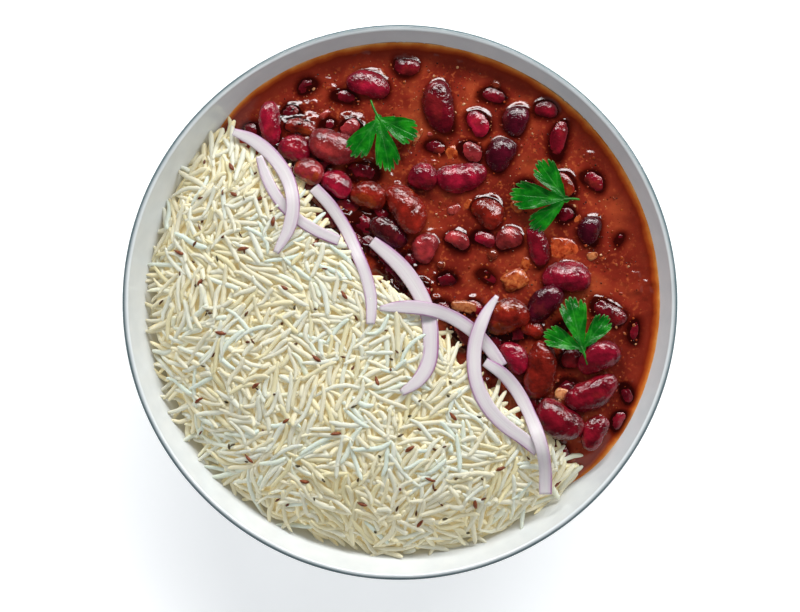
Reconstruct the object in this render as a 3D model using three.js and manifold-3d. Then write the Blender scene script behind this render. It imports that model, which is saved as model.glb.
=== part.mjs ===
// Red beans and rice, served in a low stoneware bowl.
//
// Long-grain rice fills one half of the bowl as a heap, bean curry fills the other half up to a level
// below the rim, and the two meet along a nearly straight border. Whole kidney beans stand out of the
// sauce, sliced red onion lies across the border, and three coriander leaves lie on the beans.
//
// Millimetres, +Z up, origin on the bowl's axis at the plane it stands on. +U runs along the border from
// the back left to the front right, and +V points across the border, from the rice to the curry.
import * as THREE from "three";
import { mergeVertices } from "three/addons/utils/BufferGeometryUtils.js";
import Module from "manifold-3d";

const wasm = await Module();
wasm.setup();

// ---- Driving dimensions ----

const RIM_RADIUS = 110; // outside of the bowl
const BOWL_HEIGHT = 45;
const RIM_ROUND = 1.3; // half the thickness of the lip
const FLOOR = 6; // height of the inside floor
const FLOOR_RADIUS = 50; // where the inside starts to curve up
const WALL_POWER = { inside: 4.56, outside: 4.4 }; // how late and how steeply the wall rises
const FOOT = { outer: 60, inner: 54, height: 2.5, chamfer: 0.8 };

const SAUCE = { level: 33.5, radius: 103 }; // the curry's surface, and where it meets the wall
const MOUND = { height: 2.5, reach: 26 }; // the curry stands higher beside the rice
const DIP = { depth: 9.5, fromWall: 14, fromBorder: 20 }; // and lower where the border meets the wall
const RICE = { edgeRadius: 100.5, edgeHeight: 28, top: 48.5, slope: 15, shoulder: 5, shoulderReach: 6 };
const UNEVENNESS = 0.9; // of the rice's surface
const HEAP_REACH = 106; // in plan both halves are drawn past the wall, which then trims them
const HEAP_TIP = 0.5; // least half-width of a half at its two tips, so that its slab never closes up
const UNDER_RICE = 6; // how far inside the heap the curry's slab starts, before the heap is cut from it
const GAP = 0.3; // between pieces that touch
const CUT_RISE = 9; // how much higher the heap is for that cut, for each millimetre of gap
const STEP = 0.25; // of the rise or sink that brings a piece to rest

// Waves along a line: height, length (of one radian) and shift of each.
const BORDER = { offset: 0.4, swing: 2, waves: [[1.4, 12, 0.6], [0.8, 5, 2]] };
const EDGE_WAVES = [[0.9, 9, 0], [0.6, 5, 1]];

// Thickness and bend are shares of a bean's width or half-width, and tip and roll are in degrees.
const BEAN = { thickness: 0.76, bend: 0.3, middle: 0.35, taper: 0.07, bluntness: 0.8, tip: 7, roll: 13 };
const TOMATO_DEPTH = 5;
const ONION_THICKNESS = 2.2;
const ONION_END = 0.28; // share of a slice's length over which its width eases to that of its end
const LEAF = { thickness: 0.7, heel: 1.4, droop: 2.2, droopReach: 22, tooth: 0.14, stalk: 1.2 };

// Facets
const BOWL_SEGMENTS = 40;
const WALL_STEPS = { inside: 7, outside: 6 };
const WALL_CROWDING = 0.6; // below 1, the wall's rings crowd towards the rim
const LIP_ANGLES = [45, 90, 135];
const BEAN_SEGMENTS = [8, 4];
const TOMATO_SEGMENTS = [8, 5];
const RICE_GRID = [18, 8];
const CURRY_GRID = [20, 9];
const ONION_GRID = [6, 11];
const DRAPE = { passes: 6, sides: [-0.5, -0.25, 0, 0.25, 0.5], steps: [-0.4, 0, 0.4] };
const LEAF_STEPS = 64;

// ---- Shared helpers ----

const radians = THREE.MathUtils.degToRad;

// A closed geometry as a manifold solid.
function solidOf(geometry) {
  const bare = new THREE.BufferGeometry().setAttribute("position", geometry.getAttribute("position"));
  bare.setIndex(geometry.index);
  const merged = mergeVertices(bare, 1e-3);
  return new wasm.Manifold(
    new wasm.Mesh({
      numProp: 3,
      vertProperties: merged.attributes.position.array,
      triVerts: new Uint32Array(merged.index.array),
    }),
  );
}

// A manifold solid as a geometry.
function geometryOf(solid) {
  const mesh = solid.getMesh();
  const geometry = new THREE.BufferGeometry();
  geometry.setAttribute("position", new THREE.BufferAttribute(new Float32Array(mesh.vertProperties), 3));
  geometry.setIndex(new THREE.BufferAttribute(new Uint32Array(mesh.triVerts), 1));
  return geometry;
}

// A three.js geometry with every vertex carried to place(vertex).
function shaped(geometry, place) {
  const position = geometry.getAttribute("position");
  const vertex = new THREE.Vector3();
  for (let i = 0; i < position.count; i++) {
    vertex.fromBufferAttribute(position, i);
    const { x, y, z } = place(vertex);
    position.setXYZ(i, x, y, z);
  }
  return geometry;
}

const materials = {
  bowl: new THREE.MeshStandardMaterial({ color: "#dfe0dc", roughness: 0.3, metalness: 0 }),
  rice: new THREE.MeshStandardMaterial({ color: "#e3dfc6", roughness: 0.6, metalness: 0 }),
  curry: new THREE.MeshStandardMaterial({ color: "#8a3514", roughness: 0.25, metalness: 0 }),
  bean: new THREE.MeshStandardMaterial({ color: "#7c1626", roughness: 0.3, metalness: 0 }),
  tomato: new THREE.MeshStandardMaterial({ color: "#c4622a", roughness: 0.35, metalness: 0 }),
  onion: new THREE.MeshStandardMaterial({ color: "#dccfdb", roughness: 0.4, metalness: 0 }),
  leaf: new THREE.MeshStandardMaterial({ color: "#1f8a1e", roughness: 0.45, metalness: 0 }),
};

const dish = new THREE.Group();
const laid = []; // every solid laid in the bowl so far, with its mesh

function lay(name, solid, material) {
  const mesh = new THREE.Mesh(geometryOf(solid), material);
  mesh.name = name;
  dish.add(mesh);
  laid.push({ solid, mesh });
  return solid;
}

const blocked = (solid) => laid.some((other) => solid.intersect(other.solid).volume() > 0);

// How far a solid has to rise, in small steps, to clear everything laid so far.
function riseToClear(solid) {
  let rise = 0;
  while (blocked(solid.translate([0, 0, rise]))) rise += STEP;
  return rise;
}

// How far a solid that starts above everything can sink, in small steps, before it touches something.
function sinkToRest(solid) {
  let sink = 0;
  while (!blocked(solid.translate([0, 0, -sink - STEP]))) sink += STEP;
  return sink;
}

// ---- Bowl: one lathed shell with a rounded lip and a foot ring ----

const rimMiddle = RIM_RADIUS - RIM_ROUND;
const lipBase = BOWL_HEIGHT - RIM_ROUND;
const wallRadius = rimMiddle - RIM_ROUND;

// Height of the inside at a radius.
function inside(r) {
  const t = Math.max(0, (r - FLOOR_RADIUS) / (wallRadius - FLOOR_RADIUS));
  return FLOOR + (lipBase - FLOOR) * t ** WALL_POWER.inside;
}

// Height of the outside at a radius, which starts at the foot ring.
function outside(r) {
  const t = Math.max(0, (r - FOOT.inner) / (RIM_RADIUS - FOOT.inner));
  return FOOT.height + (lipBase - FOOT.height) * t ** WALL_POWER.outside;
}

// Radii from a to b that crowd towards b, where the wall bends most.
function radii(a, b, steps) {
  return Array.from({ length: steps + 1 }, (_, k) => a + (b - a) * (k / steps) ** WALL_CROWDING);
}

const at = (x, y) => new THREE.Vector2(x, y);

// The inside's profile from the floor's edge to the lip, moved in by a margin.
function insideProfile(margin) {
  const rings = radii(FLOOR_RADIUS, wallRadius, WALL_STEPS.inside);
  return rings.map((r) => at(r - margin, inside(r) + margin));
}

function bowlGeometry() {
  const foot = [
    at(0, FOOT.height),
    at(FOOT.inner, FOOT.height),
    at(FOOT.inner + FOOT.chamfer, 0),
    at(FOOT.outer - FOOT.chamfer, 0),
  ];
  const outer = radii(FOOT.outer, RIM_RADIUS, WALL_STEPS.outside).map((r) => at(r, outside(r)));
  const lip = LIP_ANGLES.map(radians).map((angle) =>
    at(rimMiddle + RIM_ROUND * Math.cos(angle), lipBase + RIM_ROUND * Math.sin(angle)),
  );
  const profile = [...foot, ...outer, ...lip, ...insideProfile(0).reverse(), at(0, FLOOR)];
  return new THREE.LatheGeometry(profile, BOWL_SEGMENTS).rotateX(Math.PI / 2);
}

lay("bowl", solidOf(bowlGeometry()), materials.bowl);

// ---- The two halves of food ----

const across = (u, v) => ({ x: (u + v) * Math.SQRT1_2, y: (v - u) * Math.SQRT1_2 });
const alongBorder = (x, y) => (x - y) * Math.SQRT1_2;
const acrossBorder = (x, y) => (x + y) * Math.SQRT1_2;

// The sum of some waves at a place along their line.
function wavesAt(waves, s) {
  return waves.reduce((sum, [height, length, shift]) => sum + height * Math.sin(s / length + shift), 0);
}

// Where the rice ends: two slow waves, and a swing towards the curry at both ends.
function border(u) {
  return BORDER.offset + wavesAt(BORDER.waves, u) + BORDER.swing * (u / RICE.edgeRadius) ** 4;
}

// Soft unevenness of a heap, between about -1 and 1.
function uneven(x, y) {
  return 0.6 * Math.sin(x / 13 + 1.1) * Math.cos(y / 11) + 0.4 * Math.sin((x + 2 * y) / 17 + 2);
}

function riceTop(x, y) {
  const u = alongBorder(x, y);
  const fromWall = RICE.edgeRadius + wavesAt(EDGE_WAVES, u) - Math.hypot(x, y);
  const fromBorder = border(u) - acrossBorder(x, y);
  const full = RICE.edgeHeight + (RICE.top - RICE.edgeHeight) * (1 - Math.exp(-fromWall / RICE.slope));
  const shoulder = RICE.shoulder * Math.exp(-fromBorder / RICE.shoulderReach) * (1 - (u / HEAP_REACH) ** 4);
  const bumps = UNEVENNESS * uneven(x, y) * THREE.MathUtils.clamp(fromWall / RICE.slope, 0, 1);
  return full - shoulder + bumps;
}

function curryTop(x, y) {
  const fromWall = SAUCE.radius - Math.hypot(x, y);
  const fromBorder = acrossBorder(x, y) - border(alongBorder(x, y));
  const mound = MOUND.height * Math.exp(-((fromBorder / MOUND.reach) ** 2));
  return SAUCE.level + mound - DIP.depth * Math.exp(-fromWall / DIP.fromWall - fromBorder / DIP.fromBorder);
}

// A slab of food, flat below: columns across the border, from start(u) out past the wall on one side, with
// top(x, y) above. The columns and rows crowd towards the wall.
function slab([columns, rows], side, start, top) {
  const grid = new THREE.BoxGeometry(1, 1, 1, columns, rows, 1);
  const turned = side < 0 ? grid.rotateZ(Math.PI) : grid;
  return shaped(turned, (g) => {
    const u = HEAP_REACH * Math.sin(g.x * Math.PI);
    const wall = side * Math.max(HEAP_TIP, Math.sqrt(Math.max(0, HEAP_REACH ** 2 - u ** 2)));
    const share = Math.sin((side * g.y + 0.5) * Math.PI / 2);
    const spot = across(u, THREE.MathUtils.lerp(start(u), wall, share));
    return { ...spot, z: g.z > 0 ? top(spot.x, spot.y) : 0 };
  });
}

// The room inside the bowl, a gap smaller all round and open to well above the rim.
function roomGeometry() {
  const wall = insideProfile(GAP);
  const brim = at(wall.at(-1).x, 2 * BOWL_HEIGHT);
  return new THREE.LatheGeometry(
    [at(0, FLOOR + GAP), ...wall, brim, at(0, brim.y)],
    BOWL_SEGMENTS,
  ).rotateX(Math.PI / 2);
}

// The heap before the wall trims it, grown by a margin.
function heap(margin) {
  const edge = (u) => border(u) + margin;
  const top = (x, y) => riceTop(x, y) + CUT_RISE * margin;
  return solidOf(slab(RICE_GRID, -1, edge, top));
}

const room = solidOf(roomGeometry());
lay("rice", heap(0).intersect(room), materials.rice);

// The curry runs up against the rice, so its slab starts inside the heap and the heap is cut from it.
const curryStart = (u) => border(u) - UNDER_RICE;
let curry = solidOf(slab(CURRY_GRID, 1, curryStart, curryTop)).intersect(room).subtract(heap(GAP));

// ---- Kidney beans ----

// A bean about its own centre, long axis along X, hollow side towards -Y, grown by a margin all round.
function beanGeometry({ length, width }, margin = 0) {
  const sizes = [length, width, width * BEAN.thickness];
  const [half, side, up] = sizes.map((size) => size / 2 + margin);
  const bend = BEAN.bend * side;
  const [around, along] = BEAN_SEGMENTS;
  const ball = new THREE.SphereGeometry(1, around, along).rotateZ(-Math.PI / 2);
  return shaped(ball, ({ x, y, z }) => {
    const girth = Math.hypot(y, z);
    const fuller = girth > 0 ? girth ** BEAN.bluntness / girth : 0; // blunter ends than an ellipsoid
    const taper = 1 + BEAN.taper * x;
    return {
      x: half * x,
      y: side * y * fuller * taper + bend * (BEAN.middle - x * x),
      z: up * z * fuller * taper,
    };
  });
}

// Each bean: x, y, the heading of its long axis in degrees, length, width, and how far its top stands above
// the sauce. The order is bottom to top: a bean rests on those before it.
const BEANS = [
  [-20, 69, 35, 10.5, 8, 3],
  [-13.5, 52, -10, 12, 8, 2.5],
  [28, 60, -35, 11.5, 8.5, 2.5],
  [2.5, 94, 175, 11, 7.5, 3.5],
  [58, 77, -8, 10.5, 7, 3],
  [63.5, 64.5, 80, 17, 7.5, 2.5],
  [66, 47, -60, 12, 8.5, 3],
  [76, 28.5, 80, 12, 8.8, 4],
  [31.5, 71.5, -60, 12, 8.5, 3.5],
  [46.5, 72.5, 72, 12.5, 10, 4.5],
  [16, 77.5, 102, 22, 11.5, 5],
  [-12.5, 87, -14, 17.5, 10, 5],
  [-51.5, 71, 98, 18, 8, 5],
  [-40, 70, -12, 13, 6.5, 3.5],
  [-42, 61, -20, 13, 10, 5.5],
  [-33.2, 43.6, -50, 14, 8.6, 3.5],
  [-36.2, 52.2, -25, 12, 9, 5],
  [-26, 62, 165, 21, 12, 7],
  [-25.2, 47.2, -32, 13, 9, 5.5],
  [-12.6, 42.4, -15, 14.5, 10, 6.5],
  [40, 59, 60, 14, 11, 5],
  [24.5, 50, 188, 20, 10.5, 5.5],
  [9, 50, -5, 11.5, 9.5, 4.5],
  [35, 36, -45, 14, 11, 5],
  [-4.5, 27.5, -40, 17, 9.5, 5],
  [2.5, 37.5, -58, 21, 12, 8],
  [10, 21.5, 70, 12, 9.5, 5.5],
  [23, 24.5, -25, 10.5, 7.5, 3.5],
  [33, 25.5, -15, 10.5, 6.5, 3],
  [43.5, 25, 20, 11.5, 9, 4],
  [-2, 11.5, -50, 18, 10, 2.5],
  [24.5, -11, -60, 15, 9, 3],
  [55, 22, -75, 17, 7.5, 4],
  [66.5, 10, -3, 19, 11, 6],
  [57.5, -0.5, 45, 17, 10, 6],
  [53, -10.5, -20, 9.5, 7, 3.5],
  [42.5, -6, 25, 18, 12, 7],
  [83, -4, 150, 16, 9, 3.5],
  [45.5, -22, -50, 14, 9, 6],
  [68, -22.5, 10, 9.5, 8, 3.5],
  [56, -27, 262, 23, 12, 7],
  [79, -22, 25, 17.5, 11, 5.5],
  [76.5, -36, 205, 22, 11, 7.5],
  [77.5, -52, 62, 14.5, 9, 6.5],
  [63.5, -47, 148, 20.5, 12.5, 7.5],
].map(([x, y, heading, length, width, stands]) => ({ x, y, heading, length, width, stands }));

// How a bean lies: turned to its heading, and tipped and rolled a little, each one differently.
function beanPlace({ x, y, heading, width, stands }, index) {
  const tip = radians(BEAN.tip * Math.sin(2.4 * index));
  const roll = radians(BEAN.roll * Math.sin(3.7 * index + 1));
  const turn = new THREE.Euler(roll, tip, radians(heading), "ZYX");
  const z = curryTop(x, y) + stands - (width * BEAN.thickness) / 2;
  return new THREE.Matrix4().makeRotationFromEuler(turn).setPosition(x, y, z);
}

// Settles a piece in the sauce: raised clear of its neighbours, with a hollow cut for it in the curry.
// shape(margin) is the piece's solid, grown by the margin.
function settle(name, shape, material) {
  const grown = shape(GAP);
  const rise = riseToClear(grown);
  curry = curry.subtract(grown.translate([0, 0, rise]));
  lay(name, shape(0).translate([0, 0, rise]), material);
}

BEANS.forEach((bean, index) => {
  const place = beanPlace(bean, index);
  const shape = (margin) => solidOf(beanGeometry(bean, margin).applyMatrix4(place));
  settle(`bean_${String(index + 1).padStart(2, "0")}`, shape, materials.bean);
});

// ---- Pieces of cooked tomato in the sauce ----

// Each piece: x, y, heading, length, width, and how far it stands above the sauce.
const TOMATOES = [
  [65.5, 21.5, -12, 13, 9.5, 1.6],
  [46, 9, 25, 12, 8, 2.6],
].map(([x, y, heading, length, width, stands]) => ({ x, y, heading, length, width, stands }));

TOMATOES.forEach(({ x, y, heading, length, width, stands }, index) => {
  const z = curryTop(x, y) + stands - TOMATO_DEPTH / 2;
  const place = new THREE.Matrix4().makeRotationZ(radians(heading)).setPosition(x, y, z);
  const halves = [length / 2, width / 2, TOMATO_DEPTH / 2];
  // A block with rounded corners: a ball pushed halfway out to the cube round it.
  const shape = (margin) =>
    solidOf(
      shaped(new THREE.SphereGeometry(1, ...TOMATO_SEGMENTS), (p) => {
        const out = 1 / Math.sqrt(Math.max(Math.abs(p.x), Math.abs(p.y), Math.abs(p.z)));
        const [px, py, pz] = [p.x, p.y, p.z].map((value, axis) => {
          return (halves[axis] + margin) * THREE.MathUtils.clamp(value * out, -1, 1);
        });
        return { x: px, y: py, z: pz };
      }).applyMatrix4(place),
    );
  settle(`tomato_piece_${index + 1}`, shape, materials.tomato);
});

// The curry is the largest body that the cuts leave.
const curryBodies = curry.decompose().sort((a, b) => b.volume() - a.volume());
lay("curry", curryBodies[0], materials.curry);

// ---- Sliced red onion ----

// Height of whatever is laid highest at a spot.
const downwards = new THREE.Vector3(0, 0, -1);
function supportAt(x, y) {
  const ray = new THREE.Raycaster(new THREE.Vector3(x, y, 2 * BOWL_HEIGHT), downwards);
  const hits = ray.intersectObjects(
    laid.map(({ mesh }) => mesh),
    false,
  );
  return hits.length ? hits[0].point.z : 0;
}

// A slice is a strip of one onion layer. Its middle line is a smooth curve through a few points, and its
// width changes from the first end to the middle and on to the last end. The order is bottom to top.
const ONIONS = [
  {
    widths: [2.6, 4.6, 4.2],
    line: [
      [-56, 58], [-52.5, 48.5], [-47.5, 40], [-40.5, 33], [-32.5, 28], [-24, 24.3],
    ],
  },
  {
    widths: [2.8, 5.6, 2.4],
    line: [
      [-66.5, 68], [-58, 64.3], [-50, 57.3], [-44.3, 48.5], [-42.2, 39], [-43.7, 29.5], [-49, 19.5],
    ],
  },
  {
    widths: [4.6, 5, 3.4],
    line: [
      [-34.3, 45.7], [-27.5, 38.3], [-21.5, 29], [-16.8, 19], [-13.3, 10], [-11.4, 1], [-11.6, -8.7],
    ],
  },
  {
    widths: [4.4, 6.4, 2.6],
    line: [
      [-11.2, 24.4], [-4.5, 19], [1.5, 13], [7, 5], [10.8, -4], [12.2, -14], [11.2, -24], [7, -31],
      [0.5, -35.8],
    ],
  },
  {
    widths: [1.8, 5.6, 5],
    line: [
      [-8, -2.4], [1, -1.8], [10.5, -2.6], [20, -5.6], [28.5, -11], [35.3, -18], [40.5, -25.6],
    ],
  },
  {
    widths: [1.8, 5.8, 4.4],
    line: [
      [38.6, 2.6], [33.8, -5], [30.3, -14], [29.2, -23], [30.3, -32], [34.5, -41], [41, -48.3],
      [48.5, -53.8], [54.6, -59],
    ],
  },
  {
    widths: [3.6, 5.4, 5],
    line: [
      [33.6, -23.6], [40.3, -28], [46, -34.5], [50.3, -42], [53.6, -50], [56.2, -58], [57.6, -66.5],
      [57.8, -76.3],
    ],
  },
];

// The width at a share t of the way: the middle width, easing to each end's own.
function widthAt([first, middle, last], t) {
  const ease = (s) => Math.max(0, 1 - s / ONION_END) ** 2;
  return middle + (first - middle) * ease(t) + (last - middle) * ease(1 - t);
}

// Heights of a slice's middle at its stations: what lies below it, smoothed the way a limp strip drapes.
function drape(curve, widths, stations) {
  const clear = GAP + ONION_THICKNESS / 2;
  const below = Array.from({ length: stations + 1 }, (_, k) => {
    const spots = DRAPE.steps.flatMap((step) => {
      const t = THREE.MathUtils.clamp((k + step) / stations, 0, 1);
      const middle = curve.getPoint(t);
      const way = curve.getTangent(t);
      return DRAPE.sides.map((side) => {
        const reach = side * widthAt(widths, t);
        return supportAt(middle.x - way.y * reach, middle.y + way.x * reach);
      });
    });
    return Math.max(...spots) + clear;
  });
  let heights = [...below];
  for (let pass = 0; pass < DRAPE.passes; pass++) {
    heights = heights.map((height, k) => {
      const [before, after] = [heights[Math.max(0, k - 1)], heights[Math.min(stations, k + 1)]];
      return Math.max(below[k], (before + 2 * height + after) / 4);
    });
  }
  return heights;
}

ONIONS.forEach(({ widths, line }, index) => {
  const curve = new THREE.CatmullRomCurve3(line.map(([x, y]) => new THREE.Vector3(x, y, 0)));
  const [around, stations] = ONION_GRID;
  const heights = drape(curve, widths, stations);
  const tube = new THREE.CylinderGeometry(1, 1, 1, around, stations);
  const strip = shaped(tube, (p) => {
    const t = 0.5 - p.y;
    const middle = curve.getPoint(t);
    const way = curve.getTangent(t);
    const side = (p.x * widthAt(widths, t)) / 2;
    const station = Math.round(t * stations);
    return {
      x: middle.x - way.y * side,
      y: middle.y + way.x * side,
      z: heights[station] + (p.z * ONION_THICKNESS) / 2,
    };
  });
  const slice = solidOf(strip);
  lay(`onion_${index + 1}`, slice.translate([0, 0, riseToClear(slice)]), materials.onion);
});

// ---- Coriander leaves ----

// Each leaf: the joint where its stalk meets the blade, the stalk's heading in degrees and length, and the
// blade's lobes, each with its heading, its length and half its spread. The leaf leans up towards one
// heading, by some degrees, and sinks until it rests on what is below it.
const LEAVES = [
  {
    joint: [-8.6, 73.4],
    stalk: [110, 7.7],
    lean: [-160, 9],
    lobes: [[-118, 19.5, 25], [-76, 21.5, 19], [-24, 16.5, 30]],
  },
  {
    joint: [66, 41],
    stalk: [-6, 5.5],
    lean: [90, 6],
    lobes: [[131, 18.5, 22], [175, 22.5, 22], [221, 18, 22]],
  },
  {
    joint: [72.4, -18.6],
    stalk: [-76, 7.2],
    lean: [180, 4],
    lobes: [[155, 16.3, 21], [101, 21.8, 23], [53, 16.3, 23]],
  },
];

// The angle from one heading to another, between -180 and 180 degrees.
const turnBetween = (from, to) => THREE.MathUtils.euclideanModulo(to - from + 180, 360) - 180;

// How far the leaf reaches from its joint at a heading: along its longest lobe there, whose end has three
// teeth, or along its narrow stalk, or around its heel.
function leafReach({ stalk, lobes }, heading) {
  const alongLobes = lobes.map(([middle, length, spread]) => {
    const off = turnBetween(middle, heading) / spread;
    const notch = (1 - Math.cos(3 * Math.PI * (off + 1))) / 2;
    return Math.abs(off) < 1 ? length * Math.sqrt(1 - off ** 4) * (1 - LEAF.tooth * notch) : 0;
  });
  const off = radians(turnBetween(stalk[0], heading));
  const narrow = LEAF.stalk / 2 / Math.abs(Math.sin(off));
  const alongStalk = Math.cos(off) > 0 ? Math.min(stalk[1], narrow) : 0;
  return Math.max(LEAF.heel, alongStalk, ...alongLobes);
}

LEAVES.forEach((leaf, index) => {
  const corners = [at(0, 0), at(1, 0), at(1, LEAF.thickness), at(0, LEAF.thickness)];
  const disc = new THREE.LatheGeometry(corners, LEAF_STEPS).rotateX(Math.PI / 2);
  const blade = shaped(disc, (p) => {
    const heading = Math.atan2(p.y, p.x);
    const reach = Math.hypot(p.x, p.y) * leafReach(leaf, THREE.MathUtils.radToDeg(heading));
    return {
      x: reach * Math.cos(heading),
      y: reach * Math.sin(heading),
      z: p.z - LEAF.droop * (reach / LEAF.droopReach) ** 2,
    };
  });
  const [towards, angle] = leaf.lean.map(radians);
  const axis = new THREE.Vector3(Math.sin(towards), -Math.cos(towards), 0);
  const above = [...leaf.joint, 2 * BOWL_HEIGHT];
  const leaning = new THREE.Matrix4().makeRotationAxis(axis, angle).setPosition(...above);
  const solid = solidOf(blade.applyMatrix4(leaning));
  lay(`coriander_${index + 1}`, solid.translate([0, 0, -sinkToRest(solid)]), materials.leaf);
});

export default dish;
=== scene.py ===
"""Red beans and rice in a low stoneware bowl.

Long-grain rice fills one half of the bowl as a heap, kidney bean curry fills the other half, slices of red
onion lie across the border between them, and three coriander leaves lie on the beans. Shapes are worked out
in millimetres in the frame's own axes, and add_piece() turns them to metres. Along the border runs u, from
the back left to the front right, and across it, from the rice to the curry, runs v.
"""

import itertools
from functools import partial

import bpy
import numpy as np
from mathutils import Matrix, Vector
from mathutils.bvhtree import BVHTree


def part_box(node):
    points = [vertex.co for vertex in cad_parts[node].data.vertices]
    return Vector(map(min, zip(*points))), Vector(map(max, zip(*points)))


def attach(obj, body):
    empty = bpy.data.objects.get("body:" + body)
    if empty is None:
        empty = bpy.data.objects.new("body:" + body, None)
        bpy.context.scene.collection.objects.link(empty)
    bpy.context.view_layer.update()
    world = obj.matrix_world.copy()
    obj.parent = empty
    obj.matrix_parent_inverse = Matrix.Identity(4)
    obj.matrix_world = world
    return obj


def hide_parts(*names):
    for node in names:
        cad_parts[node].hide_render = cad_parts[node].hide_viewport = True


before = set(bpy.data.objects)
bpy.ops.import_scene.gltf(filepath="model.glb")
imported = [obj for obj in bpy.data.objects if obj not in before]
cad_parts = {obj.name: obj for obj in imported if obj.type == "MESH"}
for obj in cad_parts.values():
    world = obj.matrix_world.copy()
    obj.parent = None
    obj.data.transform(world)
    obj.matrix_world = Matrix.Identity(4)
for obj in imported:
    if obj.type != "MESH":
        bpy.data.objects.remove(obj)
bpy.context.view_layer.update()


# ---- Bowl ----
# One shell of white stoneware, turned on a wheel, with a rounded lip and a foot ring. It is dipped in a
# glossy off-white glaze, its lip is banded with a thin slate-grey one, and the foot it was fired on is left
# bare.

MM = 0.001  # metres
RIM_RADIUS, _, BOWL_HEIGHT = (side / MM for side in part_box("bowl")[1])
RIM_ROUND = 1.3  # half the thickness of the lip
FLOOR = 6.0  # height of the inside floor
FLOOR_RADIUS = 50.0  # where the inside starts to curve up
WALL_POWER = 4.56  # how late and how steeply the inside rises
BACK_POWER = 4.4  # and the outside
FOOT_HEIGHT = 2.5
UNDERSIDE_RADII = 18, 36, 50, 53.2
FOOT_SECTION = [  # radius and height
    (53.8, 2.3), (54.1, 1.4), (54.5, 0.5), (55.2, 0.08), (56.2, 0), (57.8, 0), (58.8, 0.08), (59.5, 0.5),
    (59.9, 1.3), (60.1, 2.2),
]
INNER_FLOOR_RADII = 40, 25, 10
BACK_RINGS, LIP_RINGS, WALL_RINGS = 43, 13, 64
BOWL_AROUND = 256
FOOT_INNER, FOOT_OUTER = 54.0, 60.0
LIP_BASE = BOWL_HEIGHT - RIM_ROUND
WALL_RADIUS = RIM_RADIUS - 2 * RIM_ROUND


def inside(r):
    """Height of the inside at radius r: flat to the floor's edge, then a power of the way from there to the
    lip."""
    way = np.clip((r - FLOOR_RADIUS) / (WALL_RADIUS - FLOOR_RADIUS), 0, None)
    return FLOOR + (LIP_BASE - FLOOR) * way**WALL_POWER


def inside_radius(z):
    """Radius at which the inside reaches height z: the formula of inside() turned round."""
    way = np.clip((z - FLOOR) / (LIP_BASE - FLOOR), 0, 1)
    return FLOOR_RADIUS + (WALL_RADIUS - FLOOR_RADIUS) * way ** (1 / WALL_POWER)


def outside(r):
    """Height of the outside at radius r: a power of the way from the foot ring's inner edge to the rim."""
    way = np.clip((r - FOOT_INNER) / (RIM_RADIUS - FOOT_INNER), 0, None)
    return FOOT_HEIGHT + (LIP_BASE - FOOT_HEIGHT) * way**BACK_POWER


def ring_faces(rings, around):
    """Faces of a closed skin made of a first pole, rings of points, and a last pole: quads between rings,
    and a fan at each pole. They face outwards where the rings turn to the left round the way from pole to
    pole."""
    ring = 1 + np.arange(rings * around).reshape(rings, around)
    beside = np.roll(ring, -1, axis=1)
    quads = np.stack([ring[:-1], beside[:-1], beside[1:], ring[1:]], axis=-1).reshape(-1, 4)
    first = np.stack([np.zeros(around, int), beside[0], ring[0]], axis=-1)
    last = np.stack([np.full(around, rings * around + 1), ring[-1], beside[-1]], axis=-1)
    return [quads, np.concatenate([first, last])]


def add_piece(name, points, faces, material, marks=None, body="root"):
    """A smooth mesh from points in millimetres, arrays of faces with equal corners, and a material. Each
    mark is a number, or a triple, for every point, kept as an attribute that the material reads."""
    corners = np.concatenate([group.ravel() for group in faces])
    sizes = np.concatenate([np.full(len(group), group.shape[1]) for group in faces])
    mesh = bpy.data.meshes.new(name)
    mesh.vertices.add(len(points))
    mesh.vertices.foreach_set("co", (points * MM).astype(np.float32).ravel())
    mesh.loops.add(len(corners))
    mesh.loops.foreach_set("vertex_index", corners.astype(np.int32))
    mesh.polygons.add(len(sizes))
    mesh.polygons.foreach_set("loop_start", (np.cumsum(sizes) - sizes).astype(np.int32))
    mesh.polygons.foreach_set("use_smooth", np.ones(len(sizes), bool))
    mesh.update(calc_edges=True)
    for mark, values in (marks or {}).items():
        kind, field = ("FLOAT", "value") if values.ndim == 1 else ("FLOAT_VECTOR", "vector")
        attribute = mesh.attributes.new(mark, kind, "POINT")
        attribute.data.foreach_set(field, values.astype(np.float32).ravel())
    mesh.materials.append(material)
    piece = bpy.data.objects.new(name, mesh)
    bpy.context.scene.collection.objects.link(piece)
    if body:
        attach(piece, body)
    return piece


def linear_colour(hex_colour):
    """An sRGB hex colour as linear red, green, blue and a full alpha."""
    shares = np.array([int(hex_colour[i : i + 2], 16) for i in (1, 3, 5)]) / 255
    linear = np.where(shares <= 0.04045, shares / 12.92, ((shares + 0.055) / 1.055) ** 2.4)
    return (*linear, 1.0)


def in_use(sockets, name=None):
    """The first of a node's sockets that its settings leave in use, of any name or of one name."""
    return next(socket for socket in sockets if socket.enabled and name in (None, socket.name))


def add_node(tree, kind, inputs=None, stops=None, **settings):
    """Adds a shader node with its settings. Each input, named or numbered, is linked to a socket or a node,
    or set to a value, with a hex colour turned linear. A ramp gets its stops."""
    node = tree.nodes.new("ShaderNode" + kind)
    for setting, value in settings.items():
        setattr(node, setting, value)
    for name, value in (inputs or {}).items():
        socket = node.inputs[name] if isinstance(name, int) else in_use(node.inputs, name)
        if isinstance(value, bpy.types.Node):
            value = in_use(value.outputs)
        if isinstance(value, bpy.types.NodeSocket):
            tree.links.new(value, socket)
        else:
            socket.default_value = linear_colour(value) if isinstance(value, str) else value
    for index, (place, colour) in enumerate(stops or []):
        ramp = node.color_ramp.elements
        stop = ramp[index] if index < 2 else ramp.new(place)
        stop.position = place
        stop.color = linear_colour(colour)
    return node


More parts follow.
